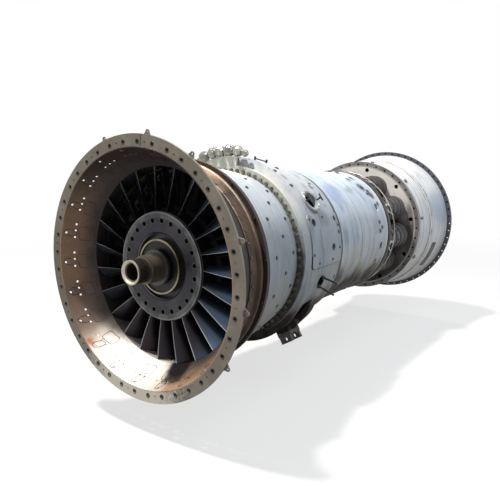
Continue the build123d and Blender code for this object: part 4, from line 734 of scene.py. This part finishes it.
class GeometryKit(NodeKit):
    """Builds one Geometry Nodes tree with named inputs."""

    def __init__(self, name: str) -> None:
        """Start an empty tree with a geometry output.

        Args:
            name: name of the tree.
        """
        super().__init__(bpy.data.node_groups.new(name, "GeometryNodeTree"))
        self.tree.interface.new_socket("Geometry", in_out="OUTPUT", socket_type="NodeSocketGeometry")
        self.entry = self.node("NodeGroupInput")
        self.values: dict[str, Number] = {}

    def size(self, name: str, value: Number) -> Sum:
        """Add a named number input.

        Args:
            name: name of the input.
            value: value that the modifier sets.

        Returns:
            The number.
        """
        kind = "NodeSocketInt" if isinstance(value, int) else "NodeSocketFloat"
        self.tree.interface.new_socket(name, in_out="INPUT", socket_type=kind)
        self.values[name] = value
        return Sum(self, self.entry.outputs[name])

    def vector(self, across: "Sum | Number", along: "Sum | Number", up: "Sum | Number" = 0.0) -> Link:
        """Join three numbers to a vector."""
        return self.node("ShaderNodeCombineXYZ", None, {0: across, 1: along, 2: up}).outputs[0]

    def moved(self, shape: Link, shift: "Link | Triple" = (0, 0, 0), turned: "Link | Triple" = (0, 0, 0),
              scaled: Triple = (1, 1, 1)) -> Link:
        """Scale a shape, turn it about X, Y and Z, then move it."""
        return self.node("GeometryNodeTransform", None, {"Geometry": shape, "Translation": shift,
                                                         "Rotation": turned, "Scale": scaled}).outputs[0]

    def stood(self, shape: Link, radius: "Sum | Number", station: "Sum | Number",
              angle: float = 0.0) -> Link:
        """Stand a flat shape on the engine at an angle in degrees, its x along it and its z outwards."""
        upright = self.moved(shape, self.vector(radius, station), (pi / 2, 0, pi / 2))
        return self.moved(upright, turned=(0.0, -radians(angle), 0.0)) if angle else upright

    def prism(self, radius: float, height: float, sides: int) -> Link:
        """A closed prism along Z, centred."""
        return self.node("GeometryNodeMeshCylinder", {"fill_type": "NGON"},
                         {"Vertices": sides, "Radius": radius, "Depth": height}).outputs["Mesh"]

    def rim(self, radius: float, half: float, flat: float = 0.3) -> Link:
        """A low rounded rim round a hole, in the XY plane."""
        return self.moved(self.wire(self.circle(radius, steps=20), half), scaled=(1.0, 1.0, flat))

    def block(self, size: Triple, cuts: int = 2) -> Link:
        """A box, centred, with points along its y for bending."""
        return self.node("GeometryNodeMeshCube", None, {"Size": size, "Vertices Y": cuts}).outputs[0]

    def circle(self, radius: "Sum | Number", steps: int) -> Link:
        """A closed circle in the XY plane."""
        return self.node("GeometryNodeCurvePrimitiveCircle", {"mode": "RADIUS"},
                         {"Resolution": steps, "Radius": radius}).outputs[0]

    def arc(self, radius: float, start: float, sweep: float, steps: int) -> Link:
        """Part of a circle in the XY plane, with angles in radians."""
        return self.node("GeometryNodeCurveArc", {"mode": "RADIUS"},
                         {"Resolution": steps, "Radius": radius, "Start Angle": start,
                          "Sweep Angle": sweep}).outputs[0]

    def line(self, *points: Triple) -> Link:
        """An open curve through points."""
        runs = [self.node("GeometryNodeCurvePrimitiveLine", None, {"Start": first, "End": last}).outputs[0]
                for first, last in zip(points, points[1:])]
        return self.joined(*runs)

    def even(self, curve: Link, points: int) -> Link:
        """A curve with evenly spaced points."""
        return self.node("GeometryNodeResampleCurve", None, {"Curve": curve, "Count": points}).outputs[0]

    def wire(self, curve: Link, radius: float, sides: int = 8) -> Link:
        """A round wire along a curve, smooth."""
        tube = self.node("GeometryNodeCurveToMesh", None,
                         {"Curve": curve, "Profile Curve": self.circle(radius, sides), "Fill Caps": True})
        return self.node("GeometryNodeSetShadeSmooth", None, {"Geometry": tube.outputs[0]}).outputs[0]

    def joined(self, *shapes: Link) -> Link:
        """Join shapes."""
        return self.node("GeometryNodeJoinGeometry", None, {"Geometry": list(shapes)}).outputs[0]

    def real(self, shape: Link) -> Link:
        """Make instances real."""
        return self.node("GeometryNodeRealizeInstances", None, {0: shape}).outputs[0]

    def position(self) -> tuple[Sum, Sum, Sum]:
        """The x, y and z of each point."""
        return self.parts(self.node("GeometryNodeInputPosition").outputs[0])

    def wrapped(self, shape: Link, angle: float, skin: Callable[[Sum, Sum], Sum]) -> Link:
        """Wrap a flat shape round the engine: its x is the station, its y goes round, its z is the height.

        Args:
            shape: flat shape.
            angle: angle where its y is zero, in degrees.
            skin: radius of the skin at a station and an angle in radians.

        Returns:
            The wrapped shape.
        """
        station, around, height = self.position()
        middle = skin(station, self.number(radians(angle)))
        turned = around / middle + radians(angle)
        radius = skin(station, turned) + height
        laid = self.vector(radius * turned.cosine(), station, radius * turned.sine())
        return self.node("GeometryNodeSetPosition", None, {"Geometry": shape, "Position": laid}).outputs[0]

    def ring(self, shape: Link, count: Sum, start: Sum) -> Link:
        """Copies of a shape, drawn at angle 0, turned evenly about the engine's axis.

        Args:
            shape: the shape.
            count: number of copies.
            start: first angle, in radians.

        Returns:
            Instances of the shape.
        """
        points = self.node("GeometryNodePoints", None, {"Count": count})
        index = Sum(self, self.node("GeometryNodeInputIndex").outputs[0])
        turn = (index * (2 * pi) / count + start) * -1.0
        return self.node("GeometryNodeInstanceOnPoints", None,
                         {"Points": points.outputs[0], "Instance": shape,
                          "Rotation": self.vector(0.0, turn)}).outputs[0]

    def pattern(self, shape: Link, number: int, first: float) -> Link:
        """The same copies, with their number and first angle in degrees as named inputs."""
        return self.ring(shape, self.size("Count", number), self.size("Start", radians(first)))

    def mesh(self, name: str, shape: Link, material: bpy.types.Material, body: Body, slot: str) -> None:
        """Finish the tree, keep its result as a plain mesh and let it ride on a body.

        Args:
            name: name of the new piece.
            shape: what the tree gives.
            material: its finish.
            body: what it moves with.
            slot: material slot of the record that it belongs to; not used.
        """
        dressed = self.node("GeometryNodeSetMaterial", None,
                            {"Geometry": self.real(shape), "Material": material})
        self.node("NodeGroupOutput", None, {0: dressed.outputs[0]})
        carrier = bpy.data.objects.new(name + "_tree", bpy.data.meshes.new(name + "_seed"))
        bpy.context.scene.collection.objects.link(carrier)
        modifier = carrier.modifiers.new(name, "NODES")
        modifier.node_group = self.tree
        for entry in self.tree.interface.items_tree:
            if entry.in_out == "INPUT" and entry.name in self.values:
                modifier[entry.identifier] = self.values[entry.name]
        made = carrier.evaluated_get(bpy.context.evaluated_depsgraph_get())
        plain = bpy.data.meshes.new_from_object(made)
        plain.name = name
        carrier.modifiers.clear()
        bpy.data.objects.remove(carrier)
        piece = bpy.data.objects.new(name, plain)
        bpy.context.scene.collection.objects.link(piece)
        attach(piece, body.value)
        LOG.info("%s: %d faces", name, len(plain.polygons))


@dataclass
class Section:
    """A section of the engine: the fittings added to it and the finishes of its solids.

    Attributes:
        finishes: all materials by name.
        coats: for each finish, the CAD nodes that get it, with spaces between.
    """

    finishes: dict[str, bpy.types.Material]
    coats: ClassVar[dict[str, str]] = {}

    def add(self, kit: GeometryKit, name: str, shape: Link, finish: str, slot: str = "dark_steel",
            body: Body = Body.CASING) -> None:
        """Keep a shape as a new piece with a finish and a body."""
        kit.mesh(name, shape, self.finishes[finish], body, slot)

    def dress(self) -> None:
        """Give the section's solids their finishes."""
        for finish, names in self.coats.items():
            for name in names.split():
                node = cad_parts[name]
                node.data.materials.clear()
                node.data.materials.append(self.finishes[finish])
                LOG.info("%s gets %s", name, finish)


@dataclass
class InletDress(Section):
    """Inlet flange, bell-mouthed duct and the ring behind it."""

    # Flange holes: number, radius of their circle and first angle in degrees
    hole_count: int = 40
    hole_circle: float = 0.406
    hole_start: float = 5.5
    # Anchor nut by radius and height, its foot, and an insert's rim by radius and half width
    nut_size: Pair = (0.0085, 0.009)
    nut_station: float = 0.0128
    nut_foot: Triple = (0.016, 0.0018, 0.034)
    nut_foot_station: float = 0.0092
    insert_rim: Pair = (0.0070, 0.0018)
    # Vane feet: number and first angle; outlines of a pad and of the leaf before it, and the places of both
    foot_count: int = 22
    foot_start: float = 0.8
    pad_size: Pair = (0.034, 0.050)
    pad_slant: float = 0.010
    pad_corner: float = 0.008
    pad_place: Pair = (0.074, 0.010)
    leaf_radius: float = 0.012
    leaf_stretch: float = 1.8
    leaf_turn: float = 0.35
    leaf_place: Pair = (0.031, 0.008)
    # Sealing line, and the arc of the bell mouth by station and radius of its centre
    seal_radius: float = 0.0011
    bell_centre: Pair = (-0.07187, 0.10553)
    bell_radius: float = 0.29133
    coats: ClassVar[dict[str, str]] = {
        "flange_grey": "inlet_flange inlet_lugs",
        "heat_stained_sheet": "inlet_duct",
        "ring_brown": "inlet_rear_ring",
        "dark_steel": "ring_rivets ring_bolts",
    }

    def build(self) -> None:
        """Add the nuts and inserts of the flange and the outlines of the vane feet."""
        for name, draw in (("anchor_nuts", self.nut), ("flange_inserts", self.insert)):
            kit = GeometryKit(name)
            fitting = draw(kit, kit.size("Circle radius", self.hole_circle))
            self.add(kit, name, kit.pattern(fitting, self.hole_count, self.hole_start), "dark_steel")
        self.foot_outlines()

    def nut(self, kit: GeometryKit, circle: Sum) -> Link:
        """A round nut on a riveted foot, behind the flange."""
        round_nut = kit.prism(*self.nut_size, sides=12)
        nut = kit.moved(round_nut, kit.vector(circle, self.nut_station), FACE_FRONT)
        foot = kit.moved(kit.block(self.nut_foot), kit.vector(circle, self.nut_foot_station))
        return kit.joined(nut, foot)

    def insert(self, kit: GeometryKit, circle: Sum) -> Link:
        """The rim of a threaded insert, in the front face of the flange."""
        return kit.moved(kit.rim(*self.insert_rim), kit.vector(circle, 0.0), FACE_FRONT)

    def bell(self, station: Sum, angle: Sum) -> Sum:
        """Radius of the bell mouth's inner face at a station; the angle makes no difference."""
        return (self.bell_radius ** 2 - (station - self.bell_centre[0]) ** 2).root() + self.bell_centre[1]

    def foot_outlines(self) -> None:
        """Lay the dark sealing lines of the vane feet on the bell mouth."""
        kit = GeometryKit("vane foot outlines")
        length, width = self.pad_size
        pad = kit.node("GeometryNodeCurvePrimitiveQuadrilateral", {"mode": "PARALLELOGRAM"},
                       {"Width": length, "Height": width, "Offset": self.pad_slant})
        soft = kit.node("GeometryNodeFilletCurve", {"mode": "POLY"},
                        {"Curve": pad.outputs[0], "Radius": self.pad_corner, "Count": 5})
        leaf = kit.moved(kit.circle(self.leaf_radius, steps=24), (*self.leaf_place, 0.0),
                         (0.0, 0.0, self.leaf_turn), (self.leaf_stretch, 1.0, 1.0))
        lines = kit.joined(kit.moved(soft.outputs[0], (*self.pad_place, 0.0)), leaf)
        seal = kit.wire(kit.wrapped(kit.even(lines, points=48), 0.0, self.bell), self.seal_radius, sides=5)
        shape = kit.pattern(seal, self.foot_count, self.foot_start)
        self.add(kit, "vane_foot_outlines", shape, "inner_blade", "heat_brown")


@dataclass
class CaseDress(Section):
    """Compressor cases and everything bolted to them."""

    # Intermediate case: oval at its shoulder, round at its rear, and their stations
    half_width: float = 0.334
    half_height: float = 0.362
    rear_radius: float = 0.316
    shoulder: float = 0.521
    rear: float = 0.803
    # Its openings by station and angle in degrees, and the liners that close them
    port: Pair = (0.621, 36.0)
    round_holes: tuple[Pair, ...] = ((0.578, 21.7), (0.715, 3.4))
    window: Pair = (0.588, -41.0)
    window_size: Pair = (0.104, 0.132)
    drain: Pair = (0.637, -18.4)
    port_liner: float = 0.041
    hole_liner: float = 0.021
    drain_liner: float = 0.022
    drain_lift: float = 0.0012
    liner_depth: float = 0.016
    liner_thickness: float = 0.002
    # Rim of the port and hook behind it: radius and wire, height over the case, arc in radians
    port_rim: Pair = (0.0395, 0.0030)
    port_rim_lift: float = 0.0085
    hook: Pair = (0.724, 50.0)
    hook_size: Pair = (0.013, 0.0024)
    hook_arc: Pair = (0.6, 4.4)
    hook_lift: float = 0.003
    # Flank cover by station and angle, its length and height, and the line round its edge
    cover: Pair = (0.662, 10.0)
    cover_size: Pair = (0.252, 0.198)
    seam: float = 0.0015
    seam_cut: float = 0.012
    seam_radius: float = 0.0014
    seam_lift: float = 0.0008
    # Slots of the high-pressure case, caps beside each by station and angle from it, and strap
    slot_count: int = 10
    slot_start: float = 27.4
    cap_size: Pair = (0.0088, 0.004)
    cap_skin: float = 0.2945
    caps: tuple[Pair, ...] = ((1.230, 14.0), (1.230, -14.0), (1.254, 17.0))
    strap_size: Pair = (0.2935, 0.0068)
    strap_station: float = 1.336
    strap_width: float = 1.8
    # Tabs on the intermediate case, by station and angle
    tab_size: Triple = (0.016, 0.010, 0.004)
    tab_lift: float = 0.001
    tabs: tuple[Pair, ...] = ((0.597, 67.0), (0.535, 61.5), (0.552, 48.3))
    # Vent pipe by station and radius; angle, size, shift outwards and along of each knuckle
    pipe: Pair = (0.490, 0.383)
    knuckles: tuple[tuple[float, float, float, float], ...] = (
        (79.8, 0.014, -0.003, 0.001), (84.6, 0.021, 0.001, -0.004), (91.0, 0.023, 0.003, 0.003),
        (97.2, 0.021, 0.001, -0.005), (103.0, 0.023, 0.004, 0.003), (109.5, 0.023, 0.000, -0.003))
    coats: ClassVar[dict[str, str]] = {
        "low_silver": "low_compressor_case pipe_clip_plate",
        "mid_grey": "intermediate_case flank_cover",
        "bracket_brown": "mount_bracket",
        "high_silver": "high_compressor_case",
        "bolt_olive": "joint_bolts",
        "dark_steel": "low_compressor_bolts cover_screws bracket_bolts port_latches drain_studs "
                      "lifting_hoop",
        "union_grey": "vent_pipe pipe_unions",
        "inner_steel": "bearing_support_frame diffuser_plate rear_bearing_cover",
        "inner_blade": "high_compressor_vanes turbine_nozzle_vanes",
        "throat_dark": "low_compressor_vanes",
    }

    def skin(self, station: float, angle: float) -> float:
        """Radius of the intermediate case at a station and an angle in degrees."""
        oval = 1 / hypot(cos(radians(angle)) / self.half_width, sin(radians(angle)) / self.half_height)
        return oval + (self.rear_radius - oval) * (station - self.shoulder) / (self.rear - self.shoulder)

    def skin_nodes(self, station: Sum, angle: Sum) -> Sum:
        """The same radius in a node tree, with the angle in radians."""
        oval = 1 / ((angle.cosine() / self.half_width) ** 2 + (angle.sine() / self.half_height) ** 2).root()
        return oval + (self.rear_radius - oval) * ((station - self.shoulder) / (self.rear - self.shoulder))

    def build(self) -> None:
        """Add the small fittings of the cases."""
        self.case_liners()
        self.window_liner()
        self.rim_and_hook()
        self.panel_line()
        self.slot_caps()
        self.pipe_knuckles()

    def case_liners(self) -> None:
        """Close the round openings of the intermediate case with black discs."""
        kit = GeometryKit("case liners")
        depth = kit.size("Depth", self.liner_depth)
        discs = [(32, self.port_liner, self.skin(*self.port) - depth, self.port)]
        discs += [(24, self.hole_liner, self.skin(*hole) - depth, hole) for hole in self.round_holes]
        discs.append((24, self.drain_liner, self.skin(*self.drain) + self.drain_lift, self.drain))
        liners = [kit.stood(kit.prism(radius, self.liner_thickness, sides), level, *place)
                  for sides, radius, level, place in discs]
        self.add(kit, "case_liners", kit.joined(*liners), "soot_black")

    def window_liner(self) -> None:
        """Close the window of the intermediate case with a curved plate."""
        kit = GeometryKit("window liner")
        depth = kit.size("Depth", self.liner_depth)
        station, angle = self.window
        flat = kit.block((*self.window_size, self.liner_thickness), cuts=24)
        plate = kit.moved(flat, kit.vector(station, 0.0, depth * -1.0))
        self.add(kit, "window_liner", kit.wrapped(plate, angle, self.skin_nodes), "bracket_brown")

    def rim_and_hook(self) -> None:
        """Add the bright rolled rim of the port and the hook behind it."""
        kit = GeometryKit("port rim")
        radius, thickness = self.port_rim
        circle = kit.circle(kit.size("Rim radius", radius), steps=48)
        level = self.skin(*self.port) + self.port_rim_lift
        rim = kit.stood(kit.wire(circle, thickness, sides=10), level, *self.port)
        radius, thickness = self.hook_size
        bent = kit.wire(kit.arc(radius, *self.hook_arc, steps=24), thickness)
        hook = kit.stood(bent, self.skin(*self.hook) + self.hook_lift, *self.hook)
        self.add(kit, "port_rim", kit.joined(rim, hook), "union_grey", "cast_grey")

    def panel_line(self) -> None:
        """Lay the dark sealing line round the flank cover."""
        kit = GeometryKit("panel line")
        far, low = (side / 2 + self.seam for side in self.cover_size)
        cut = self.seam_cut
        edges = kit.line((-far, -low / 2, 0), (-far, cut - low, 0), (cut - far, -low, 0),
                         (far - cut, -low, 0), (far, cut - low, 0), (far, low, 0))
        station, angle = self.cover
        middle = kit.vector(kit.size("Station", station), 0.0, self.seam_lift)
        flat = kit.moved(kit.even(edges, points=40), middle)
        line = kit.wire(kit.wrapped(flat, angle, self.skin_nodes), self.seam_radius, sides=6)
        self.add(kit, "panel_line", line, "soot_black")

    def slot_caps(self) -> None:
        """Add dark caps beside the slots of the high-pressure case, the strap at its rear and the tabs."""
        kit = GeometryKit("slot caps")
        cap = kit.prism(*self.cap_size, sides=10)
        caps = kit.joined(*(kit.stood(cap, self.cap_skin, *place) for place in self.caps))
        radius, thickness = self.strap_size
        band = kit.wire(kit.circle(radius, steps=96), thickness, sides=10)
        strap = kit.moved(band, (0.0, self.strap_station, 0.0), FACE_FRONT, (1.0, 1.0, self.strap_width))
        tabs = [kit.stood(kit.block(self.tab_size), self.skin(*place) + self.tab_lift, *place)
                for place in self.tabs]
        shape = kit.joined(kit.pattern(caps, self.slot_count, self.slot_start), strap, *tabs)
        self.add(kit, "slot_caps", shape, "dark_steel")

    def pipe_knuckles(self) -> None:
        """Add the bulky cast knuckles of the vent pipe, no two set quite alike."""
        kit = GeometryKit("pipe knuckles")
        station = kit.size("Station", self.pipe[0])
        circle = kit.size("Arc radius", self.pipe[1])
        balls = []
        for angle, size, out, along in self.knuckles:
            ball = kit.node("GeometryNodeMeshIcoSphere", None, {"Radius": size, "Subdivisions": 2})
            balls.append(kit.stood(ball.outputs[0], circle + out, station + along, angle))
        self.add(kit, "pipe_knuckles", kit.joined(*balls), "union_grey", "cast_grey")


@dataclass
class BurnerDress(Section):
    """Flame tubes and the pieces round them."""

    # Flame tubes: number, first angle in degrees, radius of their circle, and their rings
    can_count: int = 10
    can_start: float = 27.4
    can_circle: float = 0.228
    rings_front: float = 1.380
    ring_pitch: float = 0.041
    ring_radii: tuple[float, ...] = (0.052, 0.056, 0.059, 0.061, 0.063)
    # Ribs at the fronts of the rings, and cooling holes at a share of each ring's length
    rib_radius: float = 0.0013
    rib_lift: float = 0.0004
    rib_shift: float = 0.003
    dot_count: int = 26
    dot_size: Pair = (0.0017, 0.0010)
    dot_share: float = 0.4
    # Fuel feed of the tube at angle 0: elbow, drain line, ring pipe, nuts and clip
    elbow: tuple[Triple, ...] = ((0.290, 1.352, 0.0), (0.292, 1.376, 0.004), (0.284, 1.398, 0.002))
    elbow_radius: float = 0.0036
    drain: tuple[Triple, ...] = ((0.289, 1.358, -0.026), (0.290, 1.392, -0.046), (0.270, 1.424, -0.064))
    drain_radius: float = 0.0028
    pipe_size: Pair = (0.2915, 0.0026)
    pipe_station: float = 1.402
    nut_size: Pair = (0.0080, 0.012)
    nuts: tuple[Pair, ...] = ((0.291, 1.353), (0.286, 1.399))
    side_nut_size: Pair = (0.0065, 0.010)
    side_nut: Triple = (0.289, 1.359, -0.026)
    clip_size: Triple = (0.012, 0.018, 0.004)
    clip: Triple = (0.288, 1.402, 0.020)
    coats: ClassVar[dict[str, str]] = {
        "can_steel": "flame_tubes cross_tubes",
        "inner_steel": "fuel_manifold fuel_nozzles burner_inner_case",
        "plate_tan": "burner_rear_plate",
    }

    def build(self) -> None:
        """Add ribs and cooling holes to the flame tubes, and the fuel feeds in front of them."""
        for name, draw, finish in (("can_ribs", self.ribs, "dark_steel"),
                                   ("can_cooling_holes", self.dots, "soot_black"),
                                   ("fuel_feeds", self.feeds, "pipe_grey")):
            kit = GeometryKit(name)
            self.add(kit, name, kit.pattern(draw(kit), self.can_count, self.can_start), finish, "can_steel")

    def ribs(self, kit: GeometryKit) -> Link:
        """A rolled rib at the front of each ring of a flame tube."""
        hoops = []
        for step, radius in enumerate(self.ring_radii):
            hoop = kit.wire(kit.circle(radius + self.rib_lift, steps=40), self.rib_radius, sides=6)
            station = self.rings_front + self.ring_pitch * step + self.rib_shift
            hoops.append(kit.moved(hoop, (self.can_circle, station, 0.0), FACE_FRONT))
        return kit.joined(*hoops)

    def dots(self, kit: GeometryKit) -> Link:
        """Cooling holes round each ring of a flame tube, shown as black discs."""
        rows = []
        for step, radius in enumerate(self.ring_radii):
            disc = kit.moved(kit.prism(*self.dot_size, sides=8), (radius, 0.0, 0.0), (0, pi / 2, 0))
            row = kit.ring(disc, kit.number(self.dot_count), kit.number(0.0))
            station = self.rings_front + self.ring_pitch * (step + self.dot_share)
            rows.append(kit.moved(row, (self.can_circle, station, 0.0)))
        return kit.joined(*rows)

    def feeds(self, kit: GeometryKit) -> Link:
        """A fuel feed with its union nuts, a drain line and a length of ring pipe, outside a flame tube."""
        elbow = kit.wire(kit.line(*self.elbow), self.elbow_radius)
        drain = kit.wire(kit.line(*self.drain), self.drain_radius)
        radius, thickness = self.pipe_size
        around = kit.wire(kit.arc(radius, 0.0, 2 * pi / self.can_count, steps=14), thickness)
        pipe = kit.moved(around, (0.0, self.pipe_station, 0.0), FACE_FRONT)
        nuts = [kit.stood(kit.prism(*self.nut_size, sides=6), *place) for place in self.nuts]
        radius, station, height = self.side_nut
        side_nut = kit.stood(kit.prism(*self.side_nut_size, sides=6), radius, station)
        side = kit.moved(side_nut, (0.0, 0.0, height))
        radius, station, height = self.clip
        clip = kit.moved(kit.stood(kit.block(self.clip_size), radius, station), (0.0, 0.0, height))
        return kit.joined(elbow, drain, pipe, side, clip, *nuts)


@dataclass(frozen=True)
class HoleRing:
    """A ring of flange holes that are closed with black discs.

    Attributes:
        name: name of the piece that the discs make.
        count: holes round the flange.
        start: angle of the first one, in degrees.
        circle: radius of their circle.
        station: station of the discs.
        lowest: height below which the holes stay open.
    """

    name: str
    count: int
    start: float
    circle: float
    station: float
    lowest: float


@dataclass
class TurbineDress(Section):
    """Turbine case, its plugs and the frame at its rear."""

    # Skin of the case: station and radius of its front, and growth for each metre along it
    front: float = 1.605
    front_radius: float = 0.328
    flare: float = 0.1342
    # Dark strip by station and angle: width, length and thickness, and height of its middle
    strip: Pair = (1.836, -27.0)
    strip_size: Triple = (0.040, 0.150, 0.0024)
    strip_lift: float = 0.001
    # Radius and height of the discs, and the holes that get them
    disc_size: Pair = (0.0048, 0.0012)
    hole_rings: tuple[HoleRing, ...] = (HoleRing("rim_inserts", 40, 1.0, 0.327, 1.6046, -1.0),
                                        HoleRing("flange_plugs", 60, 0.3, 0.386, 1.9556, 0.0))
    coats: ClassVar[dict[str, str]] = {
        "turbine_grey": "turbine_case",
        "clip_grey": "turbine_plugs",
        "inner_steel": "exhaust_frame",
    }

    def skin(self, station: Sum, angle: Sum) -> Sum:
        """Radius of the turbine case at a station; the angle makes no difference."""
        return (station - self.front) * self.flare + self.front_radius

    def build(self) -> None:
        """Add the dark strip on the flank and the discs in the flange holes."""
        kit = GeometryKit("flank strip")
        place, angle = self.strip
        station = kit.size("Station", place)
        flat = kit.moved(kit.block(self.strip_size, cuts=24), kit.vector(station, 0.0, self.strip_lift))
        self.add(kit, "flank_strip", kit.wrapped(flat, angle, self.skin), "bracket_brown", "turbine_grey")
        for holes in self.hole_rings:
            self.close_holes(holes)

    def close_holes(self, holes: HoleRing) -> None:
        """Close the holes of a flange with black discs.

        Args:
            holes: the ring of holes.
        """
        kit = GeometryKit(holes.name)
        flat = kit.prism(*self.disc_size, sides=10)
        disc = kit.moved(flat, kit.vector(holes.circle, holes.station), FACE_FRONT)
        discs = kit.real(kit.pattern(disc, holes.count, holes.start))
        below = holes.lowest - kit.position()[2]
        kept = kit.node("GeometryNodeDeleteGeometry", None, {"Geometry": discs, "Selection": below})
        self.add(kit, holes.name, kept.outputs[0], "soot_black")


@dataclass
class SpoolDress(Section):
    """Rotors, shafts and bearings."""

    # Bolt holes of the hub plate: number, circle and first angle in degrees, and its front
    insert_count: int = 23
    insert_circle: float = 0.154
    insert_start: float = 7.0
    hub_face: float = 0.107
    # Name, radius, half width and finish of each kind of rim round them
    insert_rims: tuple[tuple[str, float, float, str], ...] = (
        ("hub_inserts", 0.0068, 0.0019, "soot_black"), ("hub_insert_rims", 0.0093, 0.0007, "inner_steel"))
    coats: ClassVar[dict[str, str]] = {
        "dark_blade": "stage_1_blades",
        "hub_grey": "hub_plate low_stage_1_disc",
        "shaft_steel": "drive_shaft",
        "seal_gold": "hub_seal_ring",
        "inner_steel": "low_shaft high_shaft high_compressor_drum low_turbine_discs high_turbine_disc "
                       "low_front_race high_front_race high_rear_race low_rear_race "
                       "low_front_rollers high_front_rollers high_rear_rollers low_rear_rollers",
        "inner_blade": "high_compressor_blades high_turbine_blades low_turbine_blades",
        "throat_dark": "low_compressor_blades low_compressor_drum",
    }

    def build(self) -> None:
        """Add the dark inserts of the hub plate and the bright rims round them."""
        for name, radius, half, finish in self.insert_rims:
            kit = GeometryKit(name)
            circle = kit.size("Circle radius", self.insert_circle)
            rim = kit.moved(kit.rim(radius, half), kit.vector(circle, self.hub_face), FACE_FRONT)
            shape = kit.pattern(rim, self.insert_count, self.insert_start)
            self.add(kit, name, shape, finish, body=Body.LOW_SPOOL)


@dataclass(frozen=True)
class Lamp:
    """A soft square lamp.

    Attributes:
        name: its name.
        place: where it hangs.
        aim: point that it lights.
        size: side of the square, in metres.
        power: power in watts.
        colour: its colour.
    """

    name: str
    place: Triple
    aim: Triple
    size: float
    power: float
    colour: Triple


@dataclass
class Studio:
    """Floor, lamps, world and camera."""

    # Camera: place, aim, focal length and sensor in millimetres, and how far it sees
    eye: Triple = (1.3200, -1.1901, 0.3490)
    target: Triple = (-0.1138, 0.7685, -0.0408)
    lens: float = 40.32
    sensor: float = 36.0
    sight: float = 60.0
    # Floor: height, middle, radius, fade to white, greys for bounced light and for the camera, least white
    floor_level: float = -0.55
    floor_middle: float = 1.0
    floor_radius: float = 14.0
    floor_fade: Pair = (1.6, 5.0)
    floor_greys: Pair = (0.16, 0.6)
    floor_glow: float = 0.7
    # Colour and strength of the room's light, and the lamps
    room: tuple[Triple, float] = ((0.78, 0.89, 1.0), 0.13)
    lamps: tuple[Lamp, ...] = (
        Lamp("key", (-2.05, -1.45, 7.6), (0.0, 0.5, 0.0), 0.55, 1210.0, (1.0, 0.97, 0.93)),
        Lamp("rear top", (-0.7, 2.3, 3.4), (0.0, 1.7, 0.0), 0.9, 45.0, (1.0, 0.98, 0.96)),
        Lamp("sky", (2.1, 0.3, 3.2), (0.0, 0.9, 0.1), 2.2, 62.0, (0.90, 0.95, 1.0)),
        Lamp("rear side", (2.9, 2.4, 0.9), (0.0, 1.6, 0.0), 1.8, 26.0, (0.86, 0.93, 1.0)),
        Lamp("front", (0.5, -3.2, 0.6), (0.0, 0.1, 0.0), 2.0, 11.0, (0.92, 0.96, 1.0)))

    def build(self) -> None:
        """Make the studio."""
        self.floor()
        self.world()
        for lamp in self.lamps:
            data = bpy.data.lights.new(lamp.name, "AREA")
            data.size = lamp.size
            data.energy = lamp.power
            data.color = lamp.colour
            self.aimed(lamp.name, data, lamp.place, lamp.aim)
        self.camera()

    def floor(self) -> None:
        """Lay a pale floor that keeps the engine's shadow and fades to white far away."""
        kit = ShaderKit("floor_white")
        far = (kit.across ** 2 + (kit.along - self.floor_middle) ** 2).root().rise(*self.floor_fade)
        shown = kit.rays_shown()
        dull, pale = ((grey, grey, grey) for grey in self.floor_greys)
        matt = kit.node("ShaderNodeBsdfDiffuse", None, {"Color": kit.mix(shown, dull, pale)})
        glow = kit.node("ShaderNodeEmission", None, {"Strength": 1.0})
        white = shown * (far * (1 - self.floor_glow) + self.floor_glow)
        both = kit.node("ShaderNodeMixShader", None, {0: white, 1: matt.outputs[0], 2: glow.outputs[0]})
        kit.node("ShaderNodeOutputMaterial", None, {"Surface": both.outputs[0]})
        mesh = bpy.data.meshes.new("floor")
        shape = bmesh.new()
        bmesh.ops.create_circle(shape, cap_ends=True, segments=64, radius=self.floor_radius)
        bmesh.ops.translate(shape, verts=shape.verts, vec=(0.0, self.floor_middle, self.floor_level))
        shape.to_mesh(mesh)
        shape.free()
        mesh.materials.append(kit.material)
        floor = bpy.data.objects.new("floor", mesh)
        bpy.context.scene.collection.objects.link(floor)

    def world(self) -> None:
        """Light the room softly and show it white."""
        world = bpy.data.worlds.new("studio")
        bpy.context.scene.world = world
        world.use_nodes = True
        kit = NodeKit(world.node_tree)
        kit.tree.nodes.clear()
        colour, strength = self.room
        soft = kit.node("ShaderNodeBackground", None, {"Color": (*colour, 1.0), "Strength": strength})
        white = kit.node("ShaderNodeBackground", None, {"Color": (1.0, 1.0, 1.0, 1.0), "Strength": 1.0})
        both = kit.node("ShaderNodeMixShader", None,
                        {0: kit.rays_shown(), 1: soft.outputs[0], 2: white.outputs[0]})
        kit.node("ShaderNodeOutputWorld", None, {"Surface": both.outputs[0]})

    def aimed(self, name: str, data: bpy.types.ID, place: Triple, aim: Triple) -> bpy.types.Object:
        """Hang a lamp or a camera and turn it to a point.

        Args:
            name: name of the object.
            data: the lamp or the camera.
            place: where it hangs.
            aim: point that it faces.

        Returns:
            The new object.
        """
        made = bpy.data.objects.new(name, data)
        made.location = place
        made.rotation_euler = (Vector(aim) - Vector(place)).to_track_quat("-Z", "Y").to_euler()
        bpy.context.scene.collection.objects.link(made)
        return made

    def camera(self) -> None:
        """Set the camera at the photo's place."""
        data = bpy.data.cameras.new("camera")
        data.sensor_width = self.sensor
        data.lens = self.lens
        data.clip_end = self.sight
        bpy.context.scene.camera = self.aimed("camera", data, self.eye, self.target)
        bpy.context.scene.view_settings.view_transform = "Standard"


def main() -> None:
    """Build and dress the engine in order."""
    logging.basicConfig(level=logging.INFO, format="%(name)s: %(message)s")
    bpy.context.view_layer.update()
    finishes = {finish.name: finish.build() for finish in FINISHES}
    for kind in (InletDress, CaseDress, BurnerDress, TurbineDress, SpoolDress):
        section = kind(finishes)
        section.build()
        section.dress()
    Studio().build()


if __name__ == "__main__":
    main()
